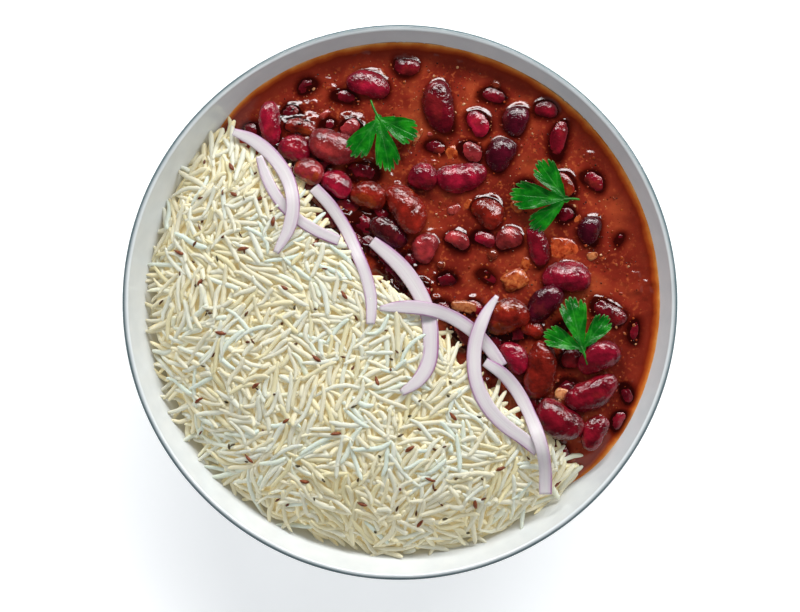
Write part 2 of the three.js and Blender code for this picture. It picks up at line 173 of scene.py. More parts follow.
def new_material(name, add_look, **choices):
    """A node material that shows the shader that add_look() builds with add_node() in the material's
    tree."""
    material = bpy.data.materials.new(name)
    material.use_nodes = True
    material.node_tree.nodes.clear()
    node = partial(add_node, material.node_tree)
    node("OutputMaterial", {"Surface": add_look(node, **choices)})
    return material


def glazed_stoneware(node):
    """Glossy off-white glaze over stoneware: faint mottling a few millimetres wide, pinholes too fine to
    feel, a slate-grey band that wanders a little on the outer edge of the lip, and a bare sandy foot."""
    place = node("TexCoord").outputs["Object"]
    mottle = node("TexNoise", {"Vector": place, "Scale": 1 / (9 * MM), "Detail": 4.0})
    glaze = node("ValToRGB", {"Fac": mottle}, [(0.3, "#d0d4d5"), (0.7, "#d9dcdc")])
    radius = node("VectorMath", {0: place, 1: (1, 1, 0)}, operation="MULTIPLY")
    radius = node("VectorMath", {0: radius}, operation="LENGTH")
    wander = node("TexNoise", {"Vector": place, "Scale": 1 / (14 * MM), "Detail": 2.0})
    wander = node("MapRange", {"Value": wander, "To Min": -0.25 * MM, "To Max": 0.25 * MM})
    edge = node("Math", {0: radius.outputs["Value"], 1: wander}, operation="ADD")
    band_edge = (RIM_RADIUS - 2.0) * MM
    band = node("MapRange", {"Value": edge, "From Min": band_edge, "From Max": band_edge + 1.4 * MM})
    slate = node("Mix", {"Factor": band, "A": glaze, "B": "#4c5e62"}, data_type="RGBA")
    height = node("SeparateXYZ", {"Vector": place})
    bare = node("MapRange", {"Value": height.outputs["Z"], "From Min": 0.9 * MM, "From Max": 0.6 * MM})
    colour = node("Mix", {"Factor": bare, "A": slate, "B": "#bda88c"}, data_type="RGBA")
    dull = node("MapRange", {"Value": bare, "To Min": 0.16, "To Max": 0.85})
    pinholes = node("TexNoise", {"Vector": place, "Scale": 1 / (1.5 * MM), "Detail": 3.0})
    bump = node("Bump", {"Height": pinholes, "Strength": 0.04, "Distance": 0.1 * MM})
    return node("BsdfPrincipled", {"Base Color": colour, "Roughness": dull, "IOR": 1.5, "Normal": bump})


def bowl_profile():
    """Radius and height from the middle of the underside out over the foot, up the outside, round the half
    circle of the lip, and down the inside to the floor's middle."""
    underside = [(r, FOOT_HEIGHT) for r in UNDERSIDE_RADII]
    back = np.linspace(0, 1, BACK_RINGS + 1)[1:] ** 0.6 * (RIM_RADIUS - FOOT_OUTER) + FOOT_OUTER
    turn = np.linspace(0, np.pi, LIP_RINGS + 2)[1:-1]
    lip = RIM_RADIUS - RIM_ROUND + RIM_ROUND * np.cos(turn), LIP_BASE + RIM_ROUND * np.sin(turn)
    wall = WALL_RADIUS - np.linspace(0, 1, WALL_RINGS) ** 1.6 * (WALL_RADIUS - FLOOR_RADIUS)
    floor = [(r, FLOOR) for r in INNER_FLOOR_RADII]
    curves = [np.transpose(curve) for curve in ((back, outside(back)), lip, (wall, inside(wall)))]
    return np.concatenate([underside, FOOT_SECTION, *curves, floor])


def with_poles(first, rings, last):
    """Points of a closed skin in the order that ring_faces() takes: a pole, the rings, and the other
    pole."""
    return np.concatenate([[first], rings.reshape(-1, 3), [last]])


def angles_round(count):
    """Angles in equal steps round a full turn."""
    return 2 * np.pi * np.arange(count) / count


def turned(profile, around):
    """Points of a profile of radius and height turned round the axis, with a pole at each end's height."""
    angle = angles_round(around)
    r, z = profile[:, :1], profile[:, 1:]
    rings = np.stack([r * np.cos(angle), r * np.sin(angle), z + 0 * angle], axis=-1)
    return with_poles([0, 0, profile[0, 1]], rings, [0, 0, profile[-1, 1]])


profile = bowl_profile()
bowl = add_piece(
    "stoneware_bowl", turned(profile, BOWL_AROUND), ring_faces(len(profile), BOWL_AROUND),
    new_material("glazed_stoneware", glazed_stoneware),
)
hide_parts("bowl")


# ---- Bean curry ----
# A thick sauce of tomato, onion and spices, ladled in hot up to a level below the rim. It climbs a little
# on the wall and on everything that stands in it, and the oil that rises out of it gathers in drops and at
# the edge.

SAUCE_LEVEL, SAUCE_RADIUS = 33.5, 103.0
MOUND_HEIGHT, MOUND_REACH = 2.5, 26.0  # it stands higher beside the rice
DIP_DEPTH, DIP_FROM_WALL, DIP_FROM_BORDER = 9.5, 14.0, 20.0  # and lower where the border meets the wall
EDGE_RADIUS = 100.5  # where the rice ends at the wall
EDGE_CLIMB, EDGE_WIDTH = 1.0, 1.1  # how far the sauce climbs the wall
CLIMB, CLIMB_WIDTH = 2.2, 2.8  # and a bean's side
UNDER_RICE = 6.0  # how far it runs on under the rice
SKIRT_SHARES = 0.15, 0.35, 0.6, 0.85, 1.0  # of the way from a top's rim down to the bowl's floor


def across(u, v):
    """x and y of a place given along and across the border."""
    return (u + v) / np.sqrt(2), (v - u) / np.sqrt(2)


def border(u):
    """v of the rice's edge: two slow waves, and a swing towards the curry at both ends."""
    return 0.4 + 1.4 * np.sin(u / 12 + 0.6) + 0.8 * np.sin(u / 5 + 2) + 2 * (u / EDGE_RADIUS) ** 4


def from_border(x, y):
    """How far a place is on the curry's side of the border."""
    return (x + y) / np.sqrt(2) - border((x - y) / np.sqrt(2))


def sauce_level(x, y):
    """Height of the still sauce: level, with a mound along the border and a dip where border and wall
    meet."""
    beside = from_border(x, y)
    inwards = SAUCE_RADIUS - np.hypot(x, y)
    mound = MOUND_HEIGHT * np.exp(-((beside / MOUND_REACH) ** 2))
    return SAUCE_LEVEL + mound - DIP_DEPTH * np.exp(-inwards / DIP_FROM_WALL - beside / DIP_FROM_BORDER)


NOISE_CELLS = 32
noise_table = np.random.default_rng(5).uniform(-1, 1, (NOISE_CELLS,) * 3)


def lumps(points, size):
    """Smooth random values between -1 and 1, about one lump to a cube of the given size: random values at
    the corners of a lattice, blended inside each cell by 3t^2 - 2t^3."""
    scaled = points / size
    cell = np.floor(scaled).astype(int)
    share = scaled - cell
    share = share**2 * (3 - 2 * share)
    total = np.zeros(points.shape[:-1])
    for corner in itertools.product((0, 1), repeat=3):
        weight = np.prod(np.where(corner, share, 1 - share), axis=-1)
        i, j, k = np.moveaxis((cell + corner) % NOISE_CELLS, -1, 0)
        total += weight * noise_table[i, j, k]
    return total


BEND, TAPER = 0.3, 0.07  # of a bean's half width, and how much fuller one end is
BOW = 0.35  # a bean's bent middle line lies BOW - x^2 of that bend aside, at share x of its half length
PLUMPNESS = 0.76  # a bean's thickness as a share of its width


def bean_frame(node):
    """How a CAD bean lies: its centre, its axes as rows, and its half sizes. Its poles are its farthest
    points, its middle lies towards its round side from theirs, and its flat sides look up and down."""
    points = np.unique(np.array([v.co for v in node.data.vertices]).round(7), axis=0) / MM
    apart = np.linalg.norm(points[:, None] - points, axis=-1)
    ends = points[list(np.unravel_index(apart.argmax(), apart.shape))]
    middle = ends.mean(axis=0)
    long_way = (ends[1] - ends[0]) / apart.max()
    round_way = points.mean(axis=0) - middle
    round_way -= long_way * (round_way @ long_way)
    round_way /= np.linalg.norm(round_way)
    up = np.cross(long_way, round_way)
    if up[2] < 0:
        long_way, up = -long_way, -up
    axes = np.array([long_way, round_way, up])
    local = (points - middle) @ axes.T
    waist = local[np.abs(local[:, 0]) < apart.max() / 10]
    half = np.array([apart.max(), *np.ptp(waist[:, 1:], axis=0)]) / 2
    return middle + round_way * (1 - BOW) * BEND * half[1], axes, half


def lying_frame(x, y, heading, length, width, stands):
    """How a sunk bean lies: flat, turned to its heading in degrees, with its top some way above the
    sauce."""
    turn = np.radians(heading)
    axes = np.array([[np.cos(turn), np.sin(turn), 0], [-np.sin(turn), np.cos(turn), 0], [0, 0, 1]])
    half = np.array([length, width, width * PLUMPNESS]) / 2
    return np.array([x, y, sauce_level(x, y) + stands - half[2]]), axes, half


# x, y, heading in degrees, length, width, and how far the top stands above the sauce
SUNK_BEANS = [
    (-43.5, 75.5, 10, 9, 7, 1.6), (-58, 68, -40, 10, 7, 1.2), (-51, 60, -60, 11, 8, 1.6),
    (-45, 52, -50, 12, 8, 2.2), (-40, 43, -50, 13, 8, 2.4), (-29.5, 34.5, -35, 14, 9, 3.0),
    (-31, 54, 60, 9, 7, 2.0), (-29, 70.5, 20, 10, 7, 0.8), (-18, 52, 70, 8, 7, 1.8),
    (-21, 38.5, -30, 12, 8, 2.6), (-15.5, 32, -45, 13, 8, 2.6), (-8, 35, -60, 9, 7, 2.0),
    (-19, 25, -55, 12, 8, 2.0), (-12, 22.5, -40, 11, 8, 2.2), (-6, 17.5, -40, 10, 8, 2.0),
    (3.5, 17, -30, 9, 7, 2.0), (7.5, 5.5, -40, 12, 8, 2.2), (-37, 86, 30, 12, 8, 0.9),
    (-22, 82, -10, 12, 6, 1.5), (37, 82.5, -12, 12, 6.5, 1.8), (18, 9, 20, 11, 8, 0.9),
    (66, 35, 30, 9, 8, 1.6), (77, 48.5, -35, 13, 8.5, 1.5), (93.5, -11.5, 85, 13, 7, 0.8),
    (88, 25, 60, 12, 8, 0.3), (14, 62, -20, 12, 8, 0.9), (50, 46, 30, 13, 9, 0.6),
    (34, 10, -30, 12, 8, 0.8), (64, -12, 70, 12, 8, 1.0), (90, -36, -70, 12, 8, 0.8),
    (17, -3, -40, 12, 8, 1.4), (29, -3, 10, 10, 8, 1.6), (37, -15, -50, 12, 8, 2.0),
    (46, -13, 20, 10, 8, 1.6), (38, -24, -60, 12, 8, 2.2), (66, -34, 30, 11, 8, 1.6),
    (62, -59, -30, 12, 8, 2.0), (52, -38, -60, 12, 8, 2.2), (87, -47, 60, 10, 7, 1.2),
]
bean_nodes = sorted(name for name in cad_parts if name.startswith("bean_"))
bean_frames = [bean_frame(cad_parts[name]) for name in bean_nodes]
sunk_frames = [lying_frame(*bean) for bean in SUNK_BEANS]


def beyond_bean(points, frame_of_bean):
    """Level distance from a bean's side, negative inside it: its own formula x^2 + (y^2 + z^2)^1.25 = 1 in
    shares of its half sizes, less 1, over how fast that grows across."""
    centre, axes, half = frame_of_bean
    local = (points - centre) @ axes.T
    share = local / half
    share[..., 1] -= BEND * (BOW - share[..., 0] ** 2)
    girth = share[..., 1] ** 2 + share[..., 2] ** 2
    growth = np.concatenate([2 * share[..., :1], 2.5 * girth[..., None] ** 0.25 * share[..., 1:]], axis=-1)
    level_growth = np.linalg.norm((growth / half) @ axes[:, :2], axis=-1)
    return (share[..., 0] ** 2 + girth**1.25 - 1) / np.maximum(level_growth, 0.05)


BEAN_REACH, OPEN_SAUCE = 12.0, 20.0  # how far a bean is felt, and the distance where none is
LEAD = 5  # the power that lets the nearest bean lead


def climb_on_beans(points):
    """How far the sauce climbs: a falling exponential of the distance from each bean, joined by a high
    power so that the nearest bean leads. Also gives the distance from the nearest bean."""
    total = np.zeros(points.shape[:-1])
    nearest = np.full(points.shape[:-1], OPEN_SAUCE)
    for centre, axes, half in bean_frames + sunk_frames:
        near = np.hypot(*np.moveaxis(points[..., :2] - centre[:2], -1, 0)) < half[0] + BEAN_REACH
        away = beyond_bean(points[near], (centre, axes, half))
        nearest[near] = np.minimum(nearest[near], away)
        stands = centre[2] + half[2] - sauce_level(*centre[:2])
        climb = min(CLIMB, 0.7 * stands)
        total[near] += (climb * np.exp(-np.maximum(away, 0) / CLIMB_WIDTH)) ** LEAD
    return total ** (1 / LEAD), nearest


CLEARANCE, WALL_CLEARANCE = 0.05, 0.02  # between a body's hidden side and the bowl


def closed_below(top):
    """A closed body under a grid of top points: the grid's rim goes down in steps, held within the bowl's
    inside, and a fan closes it on the floor. The grid's columns run along u and its rows along v."""
    columns, rows, _ = top.shape
    index = np.arange(columns * rows).reshape(columns, rows)
    quads = np.stack([index[:-1, :-1], index[1:, :-1], index[1:, 1:], index[:-1, 1:]], axis=-1)
    quads = [quads.reshape(-1, 4)]
    rim = np.concatenate([index[:, 0], index[-1, 1:], index[-2::-1, -1], index[0, -2:0:-1]])
    points = [top.reshape(-1, 3)]
    start = points[0][rim]
    upper = rim
    for share in SKIRT_SHARES:
        ring = start.copy()
        ring[:, 2] += (FLOOR + CLEARANCE - start[:, 2]) * share
        radius = np.hypot(ring[:, 0], ring[:, 1])
        ring[:, :2] *= np.minimum(1, (inside_radius(ring[:, 2]) - WALL_CLEARANCE) / radius)[:, None]
        lower = columns * rows + len(rim) * (len(points) - 1) + np.arange(len(rim))
        quads.append(np.stack([lower, np.roll(lower, -1), np.roll(upper, -1), upper], axis=-1))
        points.append(ring)
        upper = lower
    points.append(points[-1].mean(axis=0, keepdims=True))
    centre = np.full(len(rim), upper[-1] + 1)
    fan = np.stack([centre, np.roll(upper, -1), upper], axis=-1)
    return np.concatenate(points), [np.concatenate(quads), fan]


SAUCE_GRID = 480, 184
SPAN = 0.9995  # share of the border that the columns take up, so that the end ones keep a width
WALL_PASSES = 12  # enough for the radius and the height at the wall to settle on each other
TUCKED = 0.1  # how far the rim goes into the wall
CROWD_REACH = 45.0  # how far from the border the sauce is thick with pulp
CALM_FROM, CALM_OVER = 1.2, 3.0  # it is smooth near a bean, and rough from some way off
ROUGH_FROM_WALL = 4.0
END_FROM, END_OVER = 92.0, 8.0  # and smooth at the ends of the border


def sauce_surface():
    """The sauce's top: columns across the border that end on the wall, crowded there and beside the rice.
    Its height is the still level, the climb on the wall and the beans, and soft lumps. Gives the points and
    their marks."""
    columns, rows = SAUCE_GRID
    way = np.linspace(-1, 1, columns)
    wall = np.full(columns, SAUCE_RADIUS)
    for _ in range(WALL_PASSES):
        u = wall * np.sin(way * np.pi / 2) * SPAN
        far = np.sqrt(wall**2 - u**2)
        wall = inside_radius(sauce_level(*across(u, far)) + EDGE_CLIMB) + TUCKED
    u = wall * np.sin(way * np.pi / 2) * SPAN
    far = np.sqrt(wall**2 - u**2)
    share = np.linspace(0, 1, rows)
    share = share + 0.09 * np.sin(2 * np.pi * share) - 0.03 * np.sin(4 * np.pi * share)
    near = np.minimum(border(u) - UNDER_RICE, far - 2)
    v = near[:, None] + (far - near)[:, None] * share
    x, y = across(u[:, None] + 0 * v, v)
    points = np.stack([x, y, sauce_level(x, y)], axis=-1)
    radius = np.hypot(x, y)
    to_wall = inside_radius(points[..., 2] + EDGE_CLIMB) + TUCKED - radius
    climb, nearest = climb_on_beans(points)
    crowd = np.exp(-np.maximum(from_border(x, y), 0) / CROWD_REACH)
    open_share = np.clip((nearest - CALM_FROM) / CALM_OVER, 0, 1) ** 1.5
    ends = np.clip((END_FROM - np.abs(u[:, None])) / END_OVER, 0, 1)
    rough = np.maximum(open_share, np.minimum(1.3 * crowd, 1)) * np.clip(to_wall / ROUGH_FROM_WALL, 0, 1)
    flat = points * (1, 1, 0)
    soft = (0.45 + 0.4 * crowd) * lumps(flat, 6.5) + (0.25 + 0.4 * crowd) * lumps(flat + 20, 3.4)
    pulp = np.clip(lumps(flat + 40, 3.0) - 0.1, 0, None)
    relief = soft + (0.5 + 2.2 * crowd) * pulp + 0.12 * lumps(flat + 90, 1.2)
    points[..., 2] += climb + EDGE_CLIMB * np.exp(-np.maximum(to_wall, 0) / EDGE_WIDTH)
    points[..., 2] += rough * ends * relief
    points[..., 2] = np.where(to_wall < 0, inside(radius) - 0.3, points[..., 2])
    # to_bean, the distance to the nearest bean in shares of 4 mm, drives the painted shade beside the beans
    marks = {"to_wall": to_wall, "to_bean": np.clip(nearest / 4, 0, 1)}
    return points, marks


def bean_curry_sauce(node):
    """Oily tomato and onion sauce: brown-red with paler grains of onion and darker ones of spice about a
    millimetre wide, an orange film of oil where it thins out on the wall, painted shade that darkens it
    within about two millimetres of each bean, and a wet gloss."""
    place = node("TexCoord").outputs["Object"]
    to_wall = node("Attribute", attribute_name="to_wall").outputs["Fac"]
    broad = node("TexNoise", {"Vector": place, "Scale": 1 / (16 * MM), "Detail": 3.0})
    body = node("ValToRGB", {"Fac": broad}, [(0.32, "#5e180f"), (0.5, "#772316"), (0.68, "#923a20")])
    grains = node("TexNoise", {"Vector": place, "Scale": 1 / (1.6 * MM), "Detail": 3.0})
    pulp = node("ValToRGB", {"Fac": grains}, [(0.56, "#000000"), (0.74, "#ffffff")])
    pulpy = node("Mix", {"Factor": pulp, "A": body, "B": "#a04a28"}, data_type="RGBA")
    spice = node("TexVoronoi", {"Vector": place, "Scale": 1 / (3.2 * MM), "Randomness": 1.0})
    speck = node("ValToRGB", {"Fac": spice.outputs["Distance"]}, [(0.06, "#ffffff"), (0.13, "#000000")])
    specked = node("Mix", {"Factor": speck, "A": pulpy, "B": "#45170a"}, data_type="RGBA")
    wobble = node("TexNoise", {"Vector": place, "Scale": 1 / (7 * MM), "Detail": 3.0})
    wobble = node("MapRange", {"Value": wobble, "To Min": -1.0, "To Max": 1.4})
    depth = node("Math", {0: to_wall, 1: wobble}, operation="ADD")
    depth = node("MapRange", {"Value": depth, "From Max": 12.0})
    film = node(
        "ValToRGB", {"Fac": depth},
        [(0.0, "#dca468"), (0.06, "#cc7832"), (0.16, "#a64618"), (0.28, "#74200e"), (0.4, "#762416")],
    )
    film_share = node("ValToRGB", {"Fac": depth}, [(0.3, "#ffffff"), (0.9, "#000000")])
    colour = node("Mix", {"Factor": film_share, "A": specked, "B": film}, data_type="RGBA")
    # painted shade: within about two millimetres of a bean the sauce is multiplied darker, most where it
    # meets the bean, standing in for the shade that the beans cast
    to_bean = node("Attribute", attribute_name="to_bean").outputs["Fac"]
    bean_shade = node("ValToRGB", {"Fac": to_bean}, [(0.0, "#5e3a38"), (0.2, "#b49490"), (0.5, "#ffffff")])
    colour = node("Mix", {"Factor": 1.0, "A": colour, "B": bean_shade}, data_type="RGBA", blend_type="MULTIPLY")
    grit = node("TexNoise", {"Vector": place, "Scale": 1 / (0.9 * MM), "Detail": 4.0})
    bump = node("Bump", {"Height": grit, "Strength": 0.3, "Distance": 0.14 * MM})
    return node("BsdfPrincipled", {"Base Color": colour, "Roughness": 0.07, "IOR": 1.5, "Normal": bump})


sauce_points, sauce_marks = sauce_surface()
sauce_mesh, sauce_faces = closed_below(sauce_points)
FAR = 10.0  # mark of the hidden points: away from the wall and the beans
hidden = len(sauce_mesh) - sauce_points.shape[0] * sauce_points.shape[1]
sauce = add_piece(
    "curry_sauce", sauce_mesh, sauce_faces, new_material("bean_curry_sauce", bean_curry_sauce),
    {name: np.concatenate([values.ravel(), np.full(hidden, FAR)]) for name, values in sauce_marks.items()},
)
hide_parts("curry")


# ---- Kidney beans ----
# Red kidney beans, boiled soft and stewed in the sauce, so that their skins are swollen, wet and in places
# wrinkled or split. The ones that stand out of the sauce are separate pieces, and the sunk ones are one
# mesh.

BEAN_RINGS, BEAN_AROUND = 46, 44
SKIN_BEND = 0.2  # of the half width
SWOLLEN = np.array([1.04, 1.14, 1.08])  # of the half sizes, so that neighbours press on each other


def bean_points(frame_of_bean, wrinkled, seed):
    """Points of a bean: an ellipsoid with blunt ends, fuller at one end, bent round its hollow side, with a
    dent for the scar on that side, and grooves that run along it where the skin is wrinkled."""
    centre, axes, half = frame_of_bean
    angle = angles_round(BEAN_AROUND)
    turn = np.pi * np.arange(1, BEAN_RINGS + 1)[:, None] / (BEAN_RINGS + 1)
    x = -np.cos(turn) + 0 * angle
    girth = np.sin(turn) ** 0.8
    y, z = girth * np.cos(angle), girth * np.sin(angle)
    spot = np.stack([x, y, z], axis=-1) * half * (0.5, 1, 1) + 17 * seed
    groove = np.exp(-((lumps(spot, 2.4) / 0.16) ** 2)) + 0.6 * np.exp(-((lumps(spot + 9, 1.3) / 0.2) ** 2))
    swell = 1 + 0.07 * lumps(spot, 5.0) + 0.035 * lumps(spot, 1.9) + 0.012 * lumps(spot + 4, 0.9)
    swell -= wrinkled * 0.06 * groove
    scar = 0.06 * np.exp(-((x / 0.22) ** 2) - ((y + 1) / 0.4) ** 2)
    fuller = (swell - scar) * (1 + TAPER * x)
    rings = np.stack([x, y * fuller + SKIN_BEND * (BOW - x**2), z * fuller], axis=-1)
    aside = SKIN_BEND * (BOW - 1)
    return centre + with_poles([-1, aside, 0], rings, [1, aside, 0]) * half * SWOLLEN @ axes


def bean_skin(node):
    """A cooked kidney bean's skin: deep maroon, blotched a few millimetres wide and crinkled about a
    millimetre wide, under a clear coat that stands for the film of sauce and gives crisp white
    highlights."""
    place = node("TexCoord").outputs["Object"]
    # the tint is each bean's colour, with painted shade low down near the sauce
    tint = node("Attribute", attribute_name="tint").outputs["Vector"]
    blotch = node("TexNoise", {"Vector": place, "Scale": 1 / (4.5 * MM), "Detail": 4.0})
    shade = node("ValToRGB", {"Fac": blotch}, [(0.3, "#8f8f8f"), (0.5, "#c8c8c8"), (0.72, "#ffffff")])
    colour = node("Mix", {"Factor": 1.0, "A": tint, "B": shade}, data_type="RGBA", blend_type="MULTIPLY")
    crinkle = node("TexNoise", {"Vector": place, "Scale": 1 / (1.6 * MM), "Detail": 3.0})
    grit = node("TexNoise", {"Vector": place, "Scale": 1 / (0.6 * MM), "Detail": 2.0})
    relief = node("Math", {0: grit, 1: 0.3}, operation="MULTIPLY")
    relief = node("Math", {0: crinkle, 1: relief}, operation="ADD")
    bump = node("Bump", {"Height": relief, "Strength": 1.0, "Distance": 0.42 * MM})
    film = node("Bump", {"Height": crinkle, "Strength": 1.0, "Distance": 0.5 * MM})
    return node(
        "BsdfPrincipled",
        {
            "Base Color": colour, "Roughness": 0.12, "IOR": 1.45, "Normal": bump, "Coat Weight": 1.0,
            "Coat Roughness": 0.04, "Coat IOR": 1.4, "Coat Normal": film,
        },
    )


# the beans' colours by their numbers, where the rest are maroon
MAROON, PLUM, RUBY, BRICK, ROSE = "#800e20", "#560a1e", "#98122c", "#982418", "#a43034"
BEAN_TINTS = {
    PLUM: (8, 10, 21, 25, 31, 35), RUBY: (9, 12, 13, 15, 19, 22, 23, 29, 34, 39, 42),
    BRICK: (7, 14, 20, 24, 26, 36, 37, 41), ROSE: (1, 3, 17, 18, 27, 28, 30, 32),
}
TINT_OF = {f"bean_{number:02d}": tint for tint, numbers in BEAN_TINTS.items() for number in numbers}
# how wrinkled the smoother beans are, where the rest are 1
SMOOTH = {"bean_34": 0.2, "bean_08": 0.2, "bean_12": 0.4, "bean_10": 0.4, "bean_21": 0.4, "bean_05": 0.2}
# share of the sauce's colour in the patches of the beans that it coats most
COATED = {f"bean_{number:02d}": 0.75 for number in (3, 7, 14, 17, 20, 24, 26, 36, 37)}
LEAST_COATED, SUNK_COATED = 0.12, 0.3  # the same for the other beans
FIRST_SUNK_SEED = 60
skin = new_material("kidney_bean_skin", bean_skin)
bean_skins = ring_faces(BEAN_RINGS, BEAN_AROUND)
bean_rng = np.random.default_rng(21)


def bean_tint(colour, points, seed, coated):
    """A bean's colour at each of its points: a little lighter or darker than the next bean's, with painted
    shade that darkens it low down, near the sauce line, and browner in patches where the sauce lies on it
    or the skin has worn thin."""
    own = np.array(linear_colour(colour)[:3]) * bean_rng.uniform(0.8, 1.25)
    film = np.array(linear_colour("#a23e16")[:3])
    top = points[:, 2].max()
    still = sauce_level(*points.mean(axis=0)[:2])
    up = np.clip((points[:, 2] - still) / max(top - still, 1.0), 0, 1)
    ragged = lumps(points + 41 * seed, 5.0) + 0.35 * lumps(points + 13 * seed, 1.6)
    patch = np.clip((ragged - 0.3) / 0.12, 0, 1) * coated
    tint = own + (film - own) * patch[:, None]
    mottle = 1 + 0.25 * lumps(points + 23 * seed, 3.0)
    # painted shade: the tint falls to 0.3 of itself at the sauce line and rises to full at the top,
    # standing in for shade low on the bean; the mottle is its own uneven tone
    return tint * ((0.3 + 0.7 * up**0.6) * mottle)[:, None]


for seed, (name, lies) in enumerate(zip(bean_nodes, bean_frames)):
    points = bean_points(lies, SMOOTH.get(name, 1.0), seed)
    tint = bean_tint(TINT_OF.get(name, MAROON), points, seed, COATED.get(name, LEAST_COATED))
    bean = add_piece("kidney_" + name, points, bean_skins, skin, {"tint": tint})
    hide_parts(name)


def repeated(faces, count, points_each):
    """The faces of one shape, again for each of many copies whose points follow one another."""
    offsets = np.arange(count)[:, None, None] * points_each
    return [(group + offsets).reshape(-1, group.shape[1]) for group in faces]


sunk_points = [bean_points(lies, 1.0, seed) for seed, lies in enumerate(sunk_frames, FIRST_SUNK_SEED)]
# the sunk beans carry the same painted shade low down
sunk_tints = [
    bean_tint(MAROON, points, seed, SUNK_COATED)
    for seed, points in enumerate(sunk_points, FIRST_SUNK_SEED)
]
sunk = add_piece(
    "sunk_beans", np.concatenate(sunk_points), repeated(bean_skins, len(sunk_points), len(sunk_points[0])),
    skin, {"tint": np.concatenate(sunk_tints)},
)


# ---- Cooked tomato and scraps ----
# Tomato and onion, diced and fried down soft into the sauce: two larger pieces of tomato, and smaller
# scraps of both that lie half sunk between the beans.

BIT_RINGS, BIT_AROUND = 15, 20
BLOCKINESS = 0.45  # share of the way from a ball to a block


def ball_points(rings, around):
    """A round ball of half width 1: rings at even angles between its lower and its upper pole."""
    angle = angles_round(around)
    turn = np.pi * np.arange(1, rings + 1)[:, None] / (rings + 1)
    level = [np.sin(turn) * np.cos(angle), np.sin(turn) * np.sin(angle), -np.cos(turn) + 0 * angle]
    return with_poles([0, 0, -1], np.stack(level, axis=-1), [0, 0, 1])


def chunk_points(place, half, heading, tip, seed):
    """Points of a soft chunk: a ball pushed part of the way out to the block round it, turned and tipped,
    with lumps a few millimetres wide. place and half are its centre and half sizes."""
    ball = ball_points(BIT_RINGS, BIT_AROUND)
    block = ball / np.abs(ball).max(axis=1, keepdims=True) ** BLOCKINESS
    spot = block * half + 31 * seed
    swell = 1 + 0.22 * lumps(spot, 3.5) + 0.1 * lumps(spot, 1.7)
    local = block * half * swell[:, None]
    a, b = np.radians(heading), np.radians(tip)
    tipped = np.array([[np.cos(b), 0, -np.sin(b)], [0, 1, 0], [np.sin(b), 0, np.cos(b)]])
    turned_to = np.array([[np.cos(a), np.sin(a), 0], [-np.sin(a), np.cos(a), 0], [0, 0, 1]])
    return local @ tipped @ turned_to + place


def soft_flesh(node):
    """Flesh of tomato and onion cooked soft: wet, translucent, streaked, in the colour that each bit
    carries."""
    place = node("TexCoord").outputs["Object"]
    tint = node("Attribute", attribute_name="tint").outputs["Vector"]
    streaks = node("TexNoise", {"Vector": place, "Scale": 1 / (2.5 * MM), "Detail": 5.0, "Distortion": 1.0})
    shade = node("ValToRGB", {"Fac": streaks}, [(0.34, "#a8604c"), (0.62, "#ffffff")])
    colour = node("Mix", {"Factor": 1.0, "A": tint, "B": shade}, data_type="RGBA", blend_type="MULTIPLY")
    fibre = node("TexNoise", {"Vector": place, "Scale": 1 / (0.9 * MM), "Detail": 4.0})
    bump = node("Bump", {"Height": fibre, "Strength": 0.4, "Distance": 0.4 * MM})
    return node(
        "BsdfPrincipled",
        {
            "Base Color": colour, "Roughness": 0.15, "IOR": 1.4, "Coat Weight": 1.0, "Coat Roughness": 0.05,
            "Coat IOR": 1.4, "Coat Normal": bump, "Subsurface Weight": 0.2,
            "Subsurface Radius": (1.0, 0.4, 0.2), "Subsurface Scale": 1.5 * MM, "Normal": bump,
        },
    )


flesh = new_material("stewed_tomato_flesh", soft_flesh)
chunk_skins = ring_faces(BIT_RINGS, BIT_AROUND)
TOMATO_TINTS = "#b85028", "#bc6434"
TOMATO_HEADINGS = -12.0, 25.0
TOMATO_HALVES = (6.9, 5.0, 2.4), (6.0, 4.2, 2.4)
TOMATO_TIP = 5.0  # degrees
for index, (tint, heading, half) in enumerate(zip(TOMATO_TINTS, TOMATO_HEADINGS, TOMATO_HALVES)):
    name = f"tomato_piece_{index + 1}"
    middle = np.mean(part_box(name), axis=0) / MM
    points = chunk_points(middle, np.array(half), heading, TOMATO_TIP, index)
    tints = np.tile(linear_colour(tint)[:3], (len(points), 1))
    tomato = add_piece("cooked_" + name, points, chunk_skins, flesh, {"tint": tints})
    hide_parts(name)

TAN, ORANGE, PEACH, PINK = "#b47044", "#b4582a", "#c88658", "#a2443c"
SCRAP_TIP, FIRST_SCRAP_SEED = 8.0, 90
